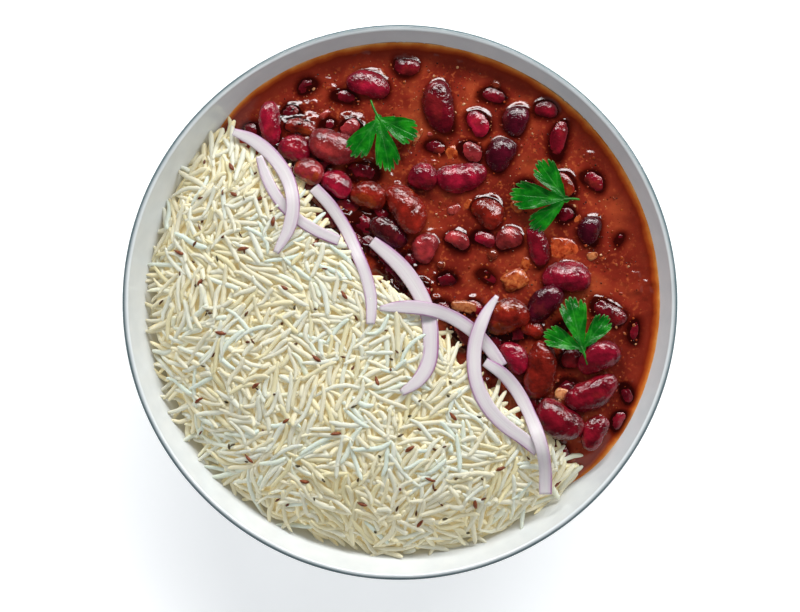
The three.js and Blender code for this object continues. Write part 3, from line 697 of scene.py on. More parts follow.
# x, y, heading in degrees, length, width, thickness, how far it stands above the sauce, colour
SCRAPS = [
    (22, 60, 20, 9, 6, 4, 1.6, ORANGE), (26, -2, -15, 11, 5.5, 4, 2.6, TAN),
    (65, -37, 70, 6, 6.5, 4, 2.4, PEACH), (77, 19, 30, 5, 4, 3, 1.4, TAN),
    (28, 39, -20, 7, 5, 3.5, 1.5, ORANGE), (4, 65, 80, 9, 2.2, 2, 1.2, ORANGE),
    (7, 66, 60, 8, 1.8, 2, 1.3, PEACH), (1, 68, 120, 6, 2, 2, 1.2, TAN),
    (21.5, 37, 15, 6.5, 4.5, 3, 1.5, PINK), (-8, 90, -30, 4, 3, 2.5, 1.6, PINK),
    (-1, 90, 10, 4.5, 2.5, 2.5, 1.4, TAN), (4.5, -5, 40, 5, 4, 3, 1.6, PINK),
    (16, 15, 0, 4, 3, 2.5, 1.3, TAN), (13, 68, 30, 5, 2.5, 2.5, 1.2, PINK),
    (-30, 75, 40, 6, 3, 3, 1.2, PINK), (47, 38, -40, 6, 4, 3, 1.0, ORANGE),
    (71, 33, 15, 6, 4, 3, 1.2, ORANGE), (33, 47, 60, 5, 3, 3, 1.2, TAN),
    (50, 15, 80, 6, 3.5, 3, 1.4, ORANGE), (-14, 32, 30, 5, 3, 3, 1.6, TAN),
]
scrap_points = []
scrap_tints = []
for index, (x, y, heading, length, width, thickness, stands, colour) in enumerate(SCRAPS):
    place = np.array([x, y, sauce_level(x, y) + stands - thickness / 2])
    half = np.array([length, width, thickness]) / 2
    points = chunk_points(place, half, heading, SCRAP_TIP * np.sin(index), FIRST_SCRAP_SEED + index)
    scrap_points.append(points)
    scrap_tints.append(np.tile(linear_colour(colour)[:3], (len(points), 1)))
scraps = add_piece(
    "onion_and_tomato_scraps", np.concatenate(scrap_points),
    repeated(chunk_skins, len(SCRAPS), len(scrap_points[0])), flesh, {"tint": np.concatenate(scrap_tints)},
)


# ---- Rice ----
# Long-grain rice, boiled and turned out loose: thin curved grains, a little translucent, that lie across
# each other in every direction. The upper layers are real grains, dropped one by one over a smaller core.

RICE_EDGE_HEIGHT, RICE_TOP, RICE_SLOPE = 28.0, 48.5, 15.0
SHOULDER, SHOULDER_REACH, HEAP_REACH = 5.0, 6.0, 106.0
CORE_DEPTH = 3.8  # of the grain layers over the core
CORE_RADIUS, CORE_FROM_BORDER = 98.0, 3.5
CORE_GRID = 200, 90
CORE_SPAN = 0.997  # share of the border that its columns take up


def uneven(x, y):
    """Soft unevenness of a heap, between about -1 and 1: the product of two waves, and one more aslant."""
    return 0.6 * np.sin(x / 13 + 1.1) * np.cos(y / 11) + 0.4 * np.sin((x + 2 * y) / 17 + 2)


def rice_top(x, y):
    """Height of the heap: it rises from its edge at the wall by a falling exponential, drops by a shoulder
    beside the border, and is a little uneven."""
    u = (x - y) / np.sqrt(2)
    from_wall = EDGE_RADIUS + 0.9 * np.sin(u / 9) + 0.6 * np.sin(u / 5 + 1) - np.hypot(x, y)
    full = RICE_EDGE_HEIGHT + (RICE_TOP - RICE_EDGE_HEIGHT) * (1 - np.exp(-from_wall / RICE_SLOPE))
    shoulder = SHOULDER * np.exp(from_border(x, y) / SHOULDER_REACH) * (1 - (u / HEAP_REACH) ** 4)
    return full - shoulder + 0.9 * uneven(x, y) * np.clip(from_wall / RICE_SLOPE, 0, 1)


def core_top(x, y):
    """Height of the core: the heap's less the grain layers, with lumps the size of a few grains, and
    falling away beside the border."""
    flat = np.stack([x, y, 0 * x], axis=-1)
    fall = 6 * np.exp(from_border(x, y) / 3 + CORE_FROM_BORDER / 3)
    return rice_top(x, y) - CORE_DEPTH - fall + 0.7 * lumps(flat, 4.0)


def core_surface():
    """The core's top: columns across the border that end on a circle inside the wall."""
    columns, rows = CORE_GRID
    u = CORE_RADIUS * np.sin(np.linspace(-1, 1, columns) * np.pi / 2) * CORE_SPAN
    far = -np.sqrt(CORE_RADIUS**2 - u**2)
    near = np.maximum(border(u) - CORE_FROM_BORDER, far + 1)
    share = np.linspace(0, 1, rows)
    v = far[:, None] + (near - far)[:, None] * share
    x, y = across(u[:, None] + 0 * v, v)
    return np.stack([x, y, np.maximum(core_top(x, y), inside(np.hypot(x, y)) + 0.3)], axis=-1)


GRAIN_DROPS = 15000  # the drops that are tried: about one in nine leaves a grain
GRAIN_AROUND = 8
GRAIN_STATIONS = np.array([-0.97, -0.82, -0.45, 0, 0.45, 0.82, 0.97])  # of the half length
GRAIN_RINGS = len(GRAIN_STATIONS)
CELL = 0.6  # of the height map that the grains are dropped on
MAP_REACH = 108.0
GRAIN_LIMIT = 49.6  # height that no grain's tip passes
GRAIN_LENGTH, WHOLE_GRAINS = (14.5, 2.6), (8, 20)  # mean and spread, and the shortest and longest
BROKEN_SHARE, BROKEN_GRAINS = 0.06, (4, 7)
GRAIN_THICKNESS = 1.7, 2.3
HEADING_SPREAD = 0.7  # round the swirl, in radians
SPOTS_TRIED = 7
PAST_BORDER, PAST_EDGE, BORDER_GAP = 3.0, 1.5, 1.2
LEAST_DEPTH = 0.45  # of a grain's middle under the heap's top
STATIONS = np.linspace(-0.5, 0.5, 9)  # where a grain feels what it lies on, as shares of its length
FEELERS = -0.6, 0, 0.6  # and how far aside, as shares of half its thickness
POWERS = np.stack([STATIONS**0, STATIONS, STATIONS**2], axis=1)
BEST_FIT = np.linalg.pinv(POWERS)
STEEPEST, MOST_BENT = 0.45, 0.5  # slope and bend of a grain, as shares of its length
PRESSED = 0.5  # share of the highest bump that a soft grain presses into
SEATED = 0.3  # height of its middle over what it lies on, as a share of its half thickness
FLATNESS = 0.8  # of its section
GRAIN_BOW, GRAIN_WAVE = 0.085, 0.025  # spreads of its sideways bow and wave, as shares of its length


def map_index(values):
    """Row or column of the height map for a coordinate."""
    return np.clip(np.rint((values + MAP_REACH) / CELL).astype(int), 0, len(map_axis) - 1)


map_axis = np.arange(-MAP_REACH, MAP_REACH + CELL, CELL)
map_x, map_y = np.meshgrid(map_axis, map_axis, indexing="ij")
radius = np.hypot(map_x, map_y)
heap_top = rice_top(map_x, map_y)
beside = from_border(map_x, map_y)
core_here = (beside < -CORE_FROM_BORDER) & (radius < CORE_RADIUS)
sauce_here = (beside > -UNDER_RICE) & (radius < SAUCE_RADIUS)
heights = np.where(core_here, core_top(map_x, map_y), inside(radius))
heights = np.maximum(heights, np.where(sauce_here, sauce_level(map_x, map_y), 0))
swirl = 2.5 * lumps(np.stack([map_x, map_y, 0 * map_x + 50], axis=-1), 18.0)


def lie_down(x, y, heading, length, thick):
    """Height of the middle, slope and bend of a soft grain that drapes over the height map: the parabola
    that fits what it feels below it best, raised by a share of the highest bump that sticks out of it."""
    way = np.array([np.cos(heading), np.sin(heading)])
    aside = np.array([-way[1], way[0]])
    taper = thick / 2 * np.sqrt(1 - (2 * STATIONS * 0.96) ** 2)
    along = STATIONS * length
    felt = []
    for side in FEELERS:
        px = x + way[0] * along + aside[0] * side * taper
        py = y + way[1] * along + aside[1] * side * taper
        felt.append(heights[map_index(px), map_index(py)])
    needed = np.max(felt, axis=0) + SEATED * taper
    middle, slope, bend = BEST_FIT @ needed
    slope = np.clip(slope, -STEEPEST * length, STEEPEST * length)
    bend = np.clip(bend, -MOST_BENT * length, MOST_BENT * length)
    bump = (needed - POWERS @ (middle, slope, bend)).max()
    return middle + (1 - PRESSED) * bump, slope / length, bend / length**2


def cover(x, y, heading, length, thick, middle, slope, bend):
    """Raises the height map to the back of a grain laid on it: an ellipse in plan, and round across."""
    reach = length / 2 + thick
    rows = slice(*map_index(np.array([x - reach, x + reach + CELL])))
    columns = slice(*map_index(np.array([y - reach, y + reach + CELL])))
    dx, dy = map_x[rows, columns] - x, map_y[rows, columns] - y
    along = dx * np.cos(heading) + dy * np.sin(heading)
    aside = dy * np.cos(heading) - dx * np.sin(heading)
    plan = 1 - (2 * along / length) ** 2 - (2 * aside / thick) ** 2
    round_back = FLATNESS * thick / 2 * np.sqrt(np.clip(plan, 0, None))
    back = middle + slope * along + bend * along**2 + round_back
    window = heights[rows, columns]
    heights[rows, columns] = np.where(plan > 0, np.maximum(window, back), window)


def drop_grains(count):
    """Drops grains on the core one by one, each on the emptiest of a few random spots, with its heading
    near a slow swirl's. A grain that would stand out of the heap's top is left out. Gives one row for each
    that is laid: x, y, height of the middle, heading, slope, bend, length, thickness, and how deep it lies
    under the top."""
    rng = np.random.default_rng(7)
    laid = []
    for _ in range(count):
        u = rng.uniform(-EDGE_RADIUS, EDGE_RADIUS, SPOTS_TRIED)
        v = rng.uniform(-EDGE_RADIUS, PAST_BORDER, SPOTS_TRIED)
        x, y = across(u, v)
        here = map_index(x), map_index(y)
        room = heap_top[here] - heights[here]
        allowed = (np.hypot(x, y) < EDGE_RADIUS + PAST_EDGE) & (from_border(x, y) < -BORDER_GAP)
        pick = np.where(allowed, room, -np.inf).argmax()
        length = np.clip(rng.normal(*GRAIN_LENGTH), *WHOLE_GRAINS)
        length = length if rng.random() > BROKEN_SHARE else rng.uniform(*BROKEN_GRAINS)
        thick = rng.uniform(*GRAIN_THICKNESS)
        heading = swirl[map_index(x[pick]), map_index(y[pick])] + rng.normal(0, HEADING_SPREAD)
        middle, slope, bend = lie_down(x[pick], y[pick], heading, length, thick)
        depth = heap_top[map_index(x[pick]), map_index(y[pick])] - middle
        tip = middle + abs(slope) * length / 2 + max(0, bend) * length**2 / 4 + thick / 2
        if allowed[pick] and depth > LEAST_DEPTH and tip < GRAIN_LIMIT:
            laid.append((x[pick], y[pick], middle, heading, slope, bend, length, thick, depth))
            cover(x[pick], y[pick], heading, length, thick, middle, slope, bend)
    return np.array(laid)


def laid_out(x, y, heading, along, aside):
    """x and y of places given along and aside of a heading from a spot."""
    cos, sin = np.cos(heading), np.sin(heading)
    return x + along * cos - aside * sin, y + along * sin + aside * cos


def grain_points(grains):
    """Points of every grain at once: a thin rod with blunt rounded ends, bent sideways and up or down by a
    parabola, and eight-sided across."""
    rng = np.random.default_rng(8)
    x, y, middle, heading, slope, bend, length, thick, _ = grains.T[:, :, None, None]
    curve = rng.normal(0, GRAIN_BOW, (len(grains), 1, 1)) * length
    swing = rng.normal(0, GRAIN_WAVE, (len(grains), 1, 1)) * length
    t = np.concatenate([[-1], GRAIN_STATIONS, [1]]) / 2
    girth = (1 - np.abs(2 * t) ** 5) ** 0.45 * (1 + 0.3 * t)
    t, girth = t[None, :, None], girth[None, :, None]
    angle = angles_round(GRAIN_AROUND)
    aside = thick / 2 * girth * np.cos(angle) + curve * (0.33 - 4 * t**2) + swing * np.sin(2 * np.pi * t)
    along = t * length + 0 * angle
    lift = FLATNESS * thick / 2 * girth * np.sin(angle) + bend * along**2
    rise = slope * along + lift
    points = np.stack([*laid_out(x, y, heading, along, aside), middle + rise], axis=-1)
    rings = points[:, 1:-1].reshape(len(grains), -1, 3)
    return np.concatenate([points[:, :1, 0], rings, points[:, -1:, 0]], axis=1)


def rice_starch(node, core):
    """Boiled long-grain rice: white starch that light goes a little way into, each grain slightly lighter
    or yellower than the next, with a dull damp shine. Grains that lie deep, and the core, are painted a
    lighter cream than the top grains, and all of it glows faintly: painted light that stands in for light
    filling the gaps between grains."""
    place = node("TexCoord").outputs["Object"]
    fine = node("TexNoise", {"Vector": place, "Scale": 1 / (2.2 * MM), "Detail": 3.0})
    # painted light: the core is a lighter, creamier colour than the top grains, standing in for light that
    # fills the gaps above it
    if core:
        colour = node("ValToRGB", {"Fac": fine}, [(0.3, "#e6d39a"), (0.7, "#efe2b8")])
    else:
        tint = node("Attribute", attribute_name="tint").outputs["Fac"]
        own = node(
            "ValToRGB", {"Fac": tint},
            [(0.0, "#c1ba96"), (0.4, "#c2bfac"), (0.75, "#c0c4ba"), (1.0, "#bac6be")],
        )
        # painted light: the deeper a grain lies under the heap's top, the more it turns to a lighter cream
        depth = node("Attribute", attribute_name="depth").outputs["Fac"]
        painted_light_deep = node("MapRange", {"Value": depth, "From Min": 0.1, "From Max": 0.55})
        colour = node("Mix", {"Factor": painted_light_deep, "A": own, "B": "#ecdfb4"}, data_type="RGBA")
    bump = node("Bump", {"Height": fine, "Strength": 0.25, "Distance": 0.3 * MM})
    # the emission is painted light: the rice glows faintly, though it is no lamp
    return node(
        "BsdfPrincipled",
        {
            "Base Color": colour, "Roughness": 0.5, "IOR": 1.4, "Subsurface Weight": 0.6,
            "Subsurface Radius": (1.0, 0.92, 0.7), "Subsurface Scale": 1.4 * MM,
            "Emission Color": "#f0e0b4", "Emission Strength": 0.12, "Normal": bump,
        },
    )


core_mesh, core_faces = closed_below(core_surface())
core = add_piece("rice_core", core_mesh, core_faces, new_material("packed_rice", rice_starch, core=True))
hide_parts("rice")

grains = drop_grains(GRAIN_DROPS)
all_grains = grain_points(grains)
grain_skins = ring_faces(GRAIN_RINGS, GRAIN_AROUND)
starch = new_material("boiled_rice_grain", rice_starch, core=False)
tint_rng = np.random.default_rng(9)
broad = lumps(grains[:, :2] @ np.eye(2, 3), 14.0)
grain_tints = np.clip(tint_rng.normal(0.5, 0.28, len(grains)) + 0.25 * broad, 0, 1)
GRAIN_PIECES = 3
DEEPEST = 6.0  # depth under the top from which the mark is 1
for index in range(GRAIN_PIECES):
    mine = slice(index, None, GRAIN_PIECES)
    count, each = all_grains[mine].shape[:2]
    # the depth mark sets how much of the painted light a grain gets
    marks = {
        "tint": np.repeat(grain_tints[mine], each),
        "depth": np.repeat(np.clip(grains[mine, -1] / DEEPEST, 0, 1), each),
    }
    faces = repeated(grain_skins, count, each)
    layer = add_piece(f"rice_grains_{index + 1}", all_grains[mine].reshape(-1, 3), faces, starch, marks)


# ---- Cumin and herb flecks ----
# Cumin seeds, red-brown and ribbed, fried with the rice and strewn through it, mostly half buried. Between
# the grains lie flecks of fried herb and broken spice, too small to show a shape of their own.

CUMIN_SPOTS = [
    (63, -73), (-80, -39), (-67, 54), (-66, 43), (-55, 41), (-50, 32), (-79, 8), (-71, -12), (-62, 21),
    (-46, 6), (-33, -22), (-57, -33), (-25, -52), (-9, -31), (4, -58), (21, -45), (30, -80), (8, -88),
    (-38, -71), (-60, -62), (-15, -80), (-22, 3), (-33, 24), (40, -66), (-88, 20), (12, -70), (-45, -47),
]
SEED_RINGS, SEED_AROUND = 14, 18
RIBS, RIB_HEIGHT = 9, 0.09  # the height as a share of the radius
SEED_BOW = 0.0396  # as a share of its length
SEED_SUNK = 0.15  # into what it lies on, as a share of its thickness


def seed_points(x, y, heading, length, thick):
    """Points of a seed that lies on the rice: a curved spindle with nine ribs along it, drawn out at one
    end."""
    middle, slope, bend = lie_down(x, y, heading, length, thick)
    angle = angles_round(SEED_AROUND)
    t = np.linspace(-0.5, 0.5, SEED_RINGS + 2)[:, None]
    girth = np.clip(np.cos(np.pi * t), 0, None) ** 0.7 * (1 - 0.5 * t)
    rib = 1 + RIB_HEIGHT * np.cos(RIBS * angle)
    aside = thick / 2 * girth * rib * np.cos(angle) + SEED_BOW * length * (1 - 4 * t**2)
    lift = thick / 2 * girth * rib * np.sin(angle) - SEED_SUNK * thick
    along = t * length + 0 * angle
    rise = slope * along + bend * along**2 + lift
    points = np.stack([*laid_out(x, y, heading, along, aside), middle + rise], axis=-1)
    return with_poles(points[0, 0], points[1:-1], points[-1, 0])


def cumin_seed(node):
    """Fried cumin: red-brown ridged husk with paler ribs and a dull oily shine."""
    place = node("TexCoord").outputs["Object"]
    husk = node("TexNoise", {"Vector": place, "Scale": 1 / (0.9 * MM), "Detail": 3.0})
    colour = node("ValToRGB", {"Fac": husk}, [(0.35, "#642810"), (0.7, "#8a4a24")])
    bump = node("Bump", {"Height": husk, "Strength": 0.3, "Distance": 0.15 * MM})
    return node("BsdfPrincipled", {"Base Color": colour, "Roughness": 0.45, "IOR": 1.45, "Normal": bump})


seed_rng = np.random.default_rng(12)
seed_meshes = [
    seed_points(x, y, seed_rng.uniform(0, np.pi), seed_rng.uniform(3.6, 5.2), seed_rng.uniform(1.2, 1.6))
    for x, y in CUMIN_SPOTS
]
cumin = add_piece(
    "cumin_seeds", np.concatenate(seed_meshes),
    repeated(ring_faces(SEED_RINGS, SEED_AROUND), len(seed_meshes), len(seed_meshes[0])),
    new_material("fried_cumin", cumin_seed),
)

FLECK_COUNT = 80
FLECK_EDGE = 4.0  # how far the flecks stay from the heap's edges


def rice_spots(rng, count):
    """Random places on the heap, inside its edge at the wall and on the rice's side of the border."""
    u, v = rng.uniform(-EDGE_RADIUS, EDGE_RADIUS, (2, 20 * count))
    x, y = across(u, v)
    on_rice = (np.hypot(x, y) < EDGE_RADIUS - FLECK_EDGE) & (from_border(x, y) < -FLECK_EDGE)
    return x[on_rice][:count], y[on_rice][:count]


def fried_herb(node):
    """Bits of herb and spice fried dark: brown to olive, with an oily shine."""
    place = node("TexCoord").outputs["Object"]
    kinds = node("TexNoise", {"Vector": place, "Scale": 1 / (12 * MM), "Detail": 2.0})
    colour = node("ValToRGB", {"Fac": kinds}, [(0.42, "#3e3418"), (0.58, "#5e2c10")])
    return node("BsdfPrincipled", {"Base Color": colour, "Roughness": 0.4, "IOR": 1.45})


fleck_rng = np.random.default_rng(14)
fleck_meshes = [
    seed_points(x, y, fleck_rng.uniform(0, np.pi), fleck_rng.uniform(1.4, 3.0), fleck_rng.uniform(0.6, 1.0))
    for x, y in zip(*rice_spots(fleck_rng, FLECK_COUNT))
]
flecks = add_piece(
    "herb_flecks", np.concatenate(fleck_meshes),
    repeated(ring_faces(SEED_RINGS, SEED_AROUND), len(fleck_meshes), len(fleck_meshes[0])),
    new_material("fried_herb", fried_herb),
)


# ---- Red onion ----
# Thin slices of raw red onion, each one a strip of a single layer with square-cut ends. The flesh is white
# and watery, with fine lines along it, and what is left of the purple skin side shows at its edges.

ONION_THICKNESS = 2.2
END_EASE = 0.28  # share of the way over which an end's own width eases in
CUT_ROUND = 0.012  # and over which its cut edge is rounded
# width at the start, in the middle and at the end, and the places that its middle line passes through
ONIONS = [
    ((2.6, 4.6, 4.2), [(-56, 58), (-52.5, 48.5), (-47.5, 40), (-40.5, 33), (-32.5, 28), (-24, 24.3)]),
    (
        (2.8, 5.6, 2.4),
        [(-66.5, 68), (-58, 64.3), (-50, 57.3), (-44.3, 48.5), (-42.2, 39), (-43.7, 29.5), (-49, 19.5)],
    ),
    (
        (4.6, 5.0, 3.4),
        [(-34.3, 45.7), (-27.5, 38.3), (-21.5, 29), (-16.8, 19), (-13.3, 10), (-11.4, 1), (-11.6, -8.7)],
    ),
    (
        (4.4, 6.4, 2.6),
        [
            (-11.2, 24.4), (-4.5, 19), (1.5, 13), (7, 5), (10.8, -4), (12.2, -14), (11.2, -24), (7, -31),
            (0.5, -35.8),
        ],
    ),
    (
        (1.8, 5.6, 5.0),
        [(-8, -2.4), (1, -1.8), (10.5, -2.6), (20, -5.6), (28.5, -11), (35.3, -18), (40.5, -25.6)],
    ),
    (
        (1.8, 5.8, 4.4),
        [
            (38.6, 2.6), (33.8, -5), (30.3, -14), (29.2, -23), (30.3, -32), (34.5, -41), (41, -48.3),
            (48.5, -53.8), (54.6, -59),
        ],
    ),
    (
        (3.6, 5.4, 5.0),
        [
            (33.6, -23.6), (40.3, -28), (46, -34.5), (50.3, -42), (53.6, -50), (56.2, -58), (57.6, -66.5),
            (57.8, -76.3),
        ],
    ),
]
ONION_STEPS, ONION_AROUND = 110, 24
CUT_INSET = 0.2  # how far inside its ends the CAD strip's height is read
SMOOTH_PASSES = 30
SQUARENESS = 0.7  # power of the section's cosine and sine: 1 is an ellipse, and less is squarer
DISH = 0.28  # how much higher its edges lie than its middle line
CROSS_HEIGHT = 0.86  # of the section without its dish, as a share of the thickness


def through(points, t):
    """A smooth line through points at shares t of the way: between two points a cubic whose slope at each
    is worked out from its neighbours, further apart counting more (a centripetal Catmull-Rom spline)."""
    points = np.array(points, float)
    knots = np.concatenate([[2 * points[0] - points[1]], points, [2 * points[-1] - points[-2]]])
    place = t * (len(points) - 1)
    start = np.minimum(place.astype(int), len(points) - 2)
    share = (place - start)[:, None]
    before, first, second, after = (knots[start + k] for k in range(4))
    steps = first - before, second - first, after - second
    behind, here, ahead = (np.linalg.norm(step, axis=1, keepdims=True) ** 0.5 for step in steps)
    leave = (first - before) / behind - (second - before) / (behind + here) + (second - first) / here
    reach = (second - first) / here - (after - first) / (here + ahead) + (after - second) / ahead
    leave, reach = leave * here, reach * here
    swing = 3 * second - 3 * first - 2 * leave - reach
    bend = 2 * first - 2 * second + leave + reach
    return first + leave * share + swing * share**2 + bend * share**3


def drop_onto(tree, x, y, default=0.0):
    """Height at which a line straight down meets a node's surface, in millimetres."""
    spot, _, _, _ = tree.ray_cast(Vector((x * MM, y * MM, 1.0)), Vector((0, 0, -1)))
    return spot.z / MM if spot else default


def node_tree_of(name):
    """A search tree of a CAD node's surface."""
    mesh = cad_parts[name].data
    return BVHTree.FromPolygons([v.co for v in mesh.vertices], [tuple(p.vertices) for p in mesh.polygons])


def smoothed(values, passes):
    """Values eased towards the mean of their neighbours, some number of times."""
    for _ in range(passes):
        padded = np.concatenate([values[:1], values, values[-1:]])
        values = (padded[:-2] + 2 * values + padded[2:]) / 4
    return values


def capped(rings):
    """Points of a closed skin whose poles are the middles of its first and last ring."""
    return with_poles(rings[0].mean(axis=0), rings, rings[-1].mean(axis=0))


def onion_strip(name, widths, line, seed):
    """Points of a slice and its marks: a flat oval section, a little dished, carried along a smooth line at
    the height of its CAD strip. The marks are the way along and aside in millimetres, and how near the skin
    it is."""
    t = np.linspace(0, 1, ONION_STEPS)
    middle = through(line, t)
    way = np.gradient(middle, axis=0)
    way /= np.linalg.norm(way, axis=1, keepdims=True)
    aside = np.stack([-way[:, 1], way[:, 0]], axis=1)
    tree = node_tree_of(name)
    inwards = way * CUT_INSET * np.sign(0.5 - t)[:, None]
    top = np.array([drop_onto(tree, x, y, np.nan) for x, y in middle + inwards])
    met = ~np.isnan(top)
    height = smoothed(np.interp(t, t[met], top[met]), SMOOTH_PASSES) - ONION_THICKNESS / 2
    first, most, last = widths
    width = most + (first - most) * np.clip(1 - t / END_EASE, 0, None) ** 2
    width = width + (last - most) * np.clip(1 - (1 - t) / END_EASE, 0, None) ** 2
    wander = lumps(np.stack([t * 60, 0 * t + seed, 0 * t], axis=1), 7.0)
    width = width * (1 + 0.05 * wander)
    angle = angles_round(ONION_AROUND)
    side = np.sign(np.cos(angle)) * np.abs(np.cos(angle)) ** SQUARENESS
    lift = np.sign(np.sin(angle)) * np.abs(np.sin(angle)) ** SQUARENESS
    thick = np.minimum(1.0, np.minimum(t, 1 - t) / CUT_ROUND + 0.35)[:, None]
    dish = DISH * (side**2 - 0.4) * np.clip(width / most, 0, 1)[:, None]
    reach = side * width[:, None] / 2
    rise = height[:, None] + lift * ONION_THICKNESS / 2 * CROSS_HEIGHT * thick + dish
    plan = middle[:, None] + aside[:, None] * reach[..., None]
    rings = np.concatenate([plan, rise[..., None]], axis=-1)
    along = np.concatenate([[0], np.cumsum(np.linalg.norm(np.diff(middle, axis=0), axis=1))])
    turning = np.cross(way[0], way[-1])
    skin_side = -np.sign(turning) * side
    flow = np.stack([along[:, None] + 0 * reach, reach, 0 * reach + 9.0 * seed], axis=-1)
    marks = {"flow": capped(flow), "skin_side": np.concatenate([[0], np.tile(skin_side, ONION_STEPS), [0]])}
    return capped(rings), marks


def red_onion(node):
    """Raw red onion: watery white flesh that light goes into, faint lilac lines about half a millimetre
    apart along the slice, purple where the skin side was, and a moist shine."""
    flow = node("Attribute", attribute_name="flow").outputs["Vector"]
    skin_side = node("Attribute", attribute_name="skin_side").outputs["Fac"]
    drawn = node("Mapping", {"Vector": flow, "Scale": (0.035, 1.0, 1.0)})
    lines = node("TexNoise", {"Vector": drawn, "Scale": 1.4, "Detail": 4.0})
    wander = node("MapRange", {"Value": lines, "To Min": -0.5, "To Max": 0.5})
    edge = node("Math", {0: skin_side, 1: wander}, operation="ADD")
    edge = node("MapRange", {"Value": edge, "From Min": -1.2, "From Max": 1.2})
    colour = node(
        "ValToRGB", {"Fac": edge},
        [(0.05, "#a06a96"), (0.14, "#c6bcc0"), (0.55, "#cbc5c4"), (0.82, "#beaeb8"), (0.93, "#8f5484")],
    )
    bump = node("Bump", {"Height": lines, "Strength": 0.35, "Distance": 0.3 * MM})
    return node(
        "BsdfPrincipled",
        {
            "Base Color": colour, "Roughness": 0.3, "IOR": 1.38, "Subsurface Weight": 0.35,
            "Subsurface Radius": (1.0, 0.8, 0.9), "Subsurface Scale": 1.5 * MM, "Normal": bump,
        },
    )


onion_flesh = new_material("raw_red_onion", red_onion)
onion_skins = ring_faces(ONION_STEPS, ONION_AROUND)
for index, (widths, line) in enumerate(ONIONS):
    name = f"onion_{index + 1}"
    points, marks = onion_strip(name, widths, line, index)
    slice_of_onion = add_piece("red_" + name, points, onion_skins, onion_flesh, marks)
    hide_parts(name)


# ---- Coriander ----
# Fresh coriander leaves on short stalks, laid on the hot beans. Each blade is one thin sheet of three
# fan-shaped lobes with notched, toothed ends, fine sunk veins that fork into each lobe, and a wavy rim a
# little paler.

LEAF_THICKNESS = 0.4
HEEL, STALK_WIDTH = 1.4, 1.1  # the heel is how far a blade goes on behind its joint
WEB = 6.6  # how far out the lobes are joined
DROOP, DROOP_REACH = 2.2, 22.0
CUP, CURL = 1.5, 0.35  # how far a lobe's sides rise, and how far its rim wanders up and down
# joint, stalk's heading and length, lean's heading and angle, and for each lobe its heading, length and
# half spread
LEAVES = [
    ((-8.6, 73.4), (110, 7.7), (-160, 9), [(-125, 19.0, 24), (-77, 22.0, 20.5), (-25, 17.5, 28)]),
    ((66.0, 41.0), (-6, 5.5), (90, 6), [(126, 19.0, 23.5), (175, 22.5, 23), (220, 18.5, 20)]),
    ((72.4, -18.6), (-76, 7.2), (180, 4), [(156, 16.8, 24), (103, 21.5, 23), (52, 17.0, 22)]),
]
LEAF_STEPS, LEAF_RINGS = 900, 22
STALK_STEPS, STALK_AROUND = 16, 12
STALK_RIM = 0.96  # how pale it is, on the scale that is 1 at a leaf's rim
STALK_HEEL = 0.18  # how far a stalk starts behind the joint, as a share of its length
NOTCH_AT, NOTCH_WIDTH = 0.37, 0.06  # as shares of a lobe's half spread
NOTCH_DEPTH = 0.14  # as a share of its length
TOOTH_WIDTH, TOOTH_DEPTH = 0.247, 0.095
VEIN_SIDES = -0.72, 0, 0.72  # where a lobe's main veins end, as shares of its half spread
VEIN_WIDTH, VEIN_THINS = 0.42, 0.2
VEIN_SINKS, VEIN_STANDS = 0.14, 0.1  # into the upper side, and out of the lower one
BRANCH_STEP, BRANCH_WIDTH = 2.6, 0.16  # from side vein to side vein, and their width
BRANCH_STRENGTH = 0.45


def turn_between(start, end):
    """Angle from one heading to another, between -180 and 180 degrees."""
    return (end - start + 180) % 360 - 180


def lobe_reach(heading, lobe):
    """How far a lobe reaches at a heading: a broad fan, shorter at its sides, cut by two notches into three
    rounded parts, each of them with three small round teeth."""
    middle, length, spread = lobe
    off = turn_between(middle, heading) / spread
    fan = np.sqrt(np.clip(1 - off**10, 0, 1)) * (1 - 0.24 * off**2)
    notch = NOTCH_DEPTH * np.exp(-np.abs((np.abs(off) - NOTCH_AT) / NOTCH_WIDTH))
    teeth = TOOTH_DEPTH * (1 - np.abs(np.sin(np.pi * (off - NOTCH_AT) / TOOTH_WIDTH)) ** 0.6)
    return np.where(np.abs(off) < 1, length * fan * (1 - notch - teeth), 0)


def vein_map(heading, reach, lobes):
    """How near a place on the blade is to a vein, from 0 to 1: each lobe's midrib runs from the joint, and
    two more leave it for the side parts; side veins leave those in turn."""
    near = np.zeros(heading.shape)
    for middle, length, spread in lobes:
        share = np.clip((reach / length - 0.15) / 0.5, 0, 1)
        fork = share**2 * (3 - 2 * share)
        for side in VEIN_SIDES:
            off = np.radians(turn_between(middle + side * spread * fork, heading)) * reach
            width = VEIN_WIDTH - VEIN_THINS * np.clip(reach / length, 0, 1)
            near = np.maximum(near, np.exp(-((off / width) ** 2)))
            branch = np.abs((reach - 1.5 * np.abs(off)) % BRANCH_STEP - BRANCH_STEP / 2)
            side_vein = BRANCH_STRENGTH * np.exp(-((branch / BRANCH_WIDTH) ** 2))
            near = np.maximum(near, side_vein * (np.abs(off) < BRANCH_STEP))
    return near


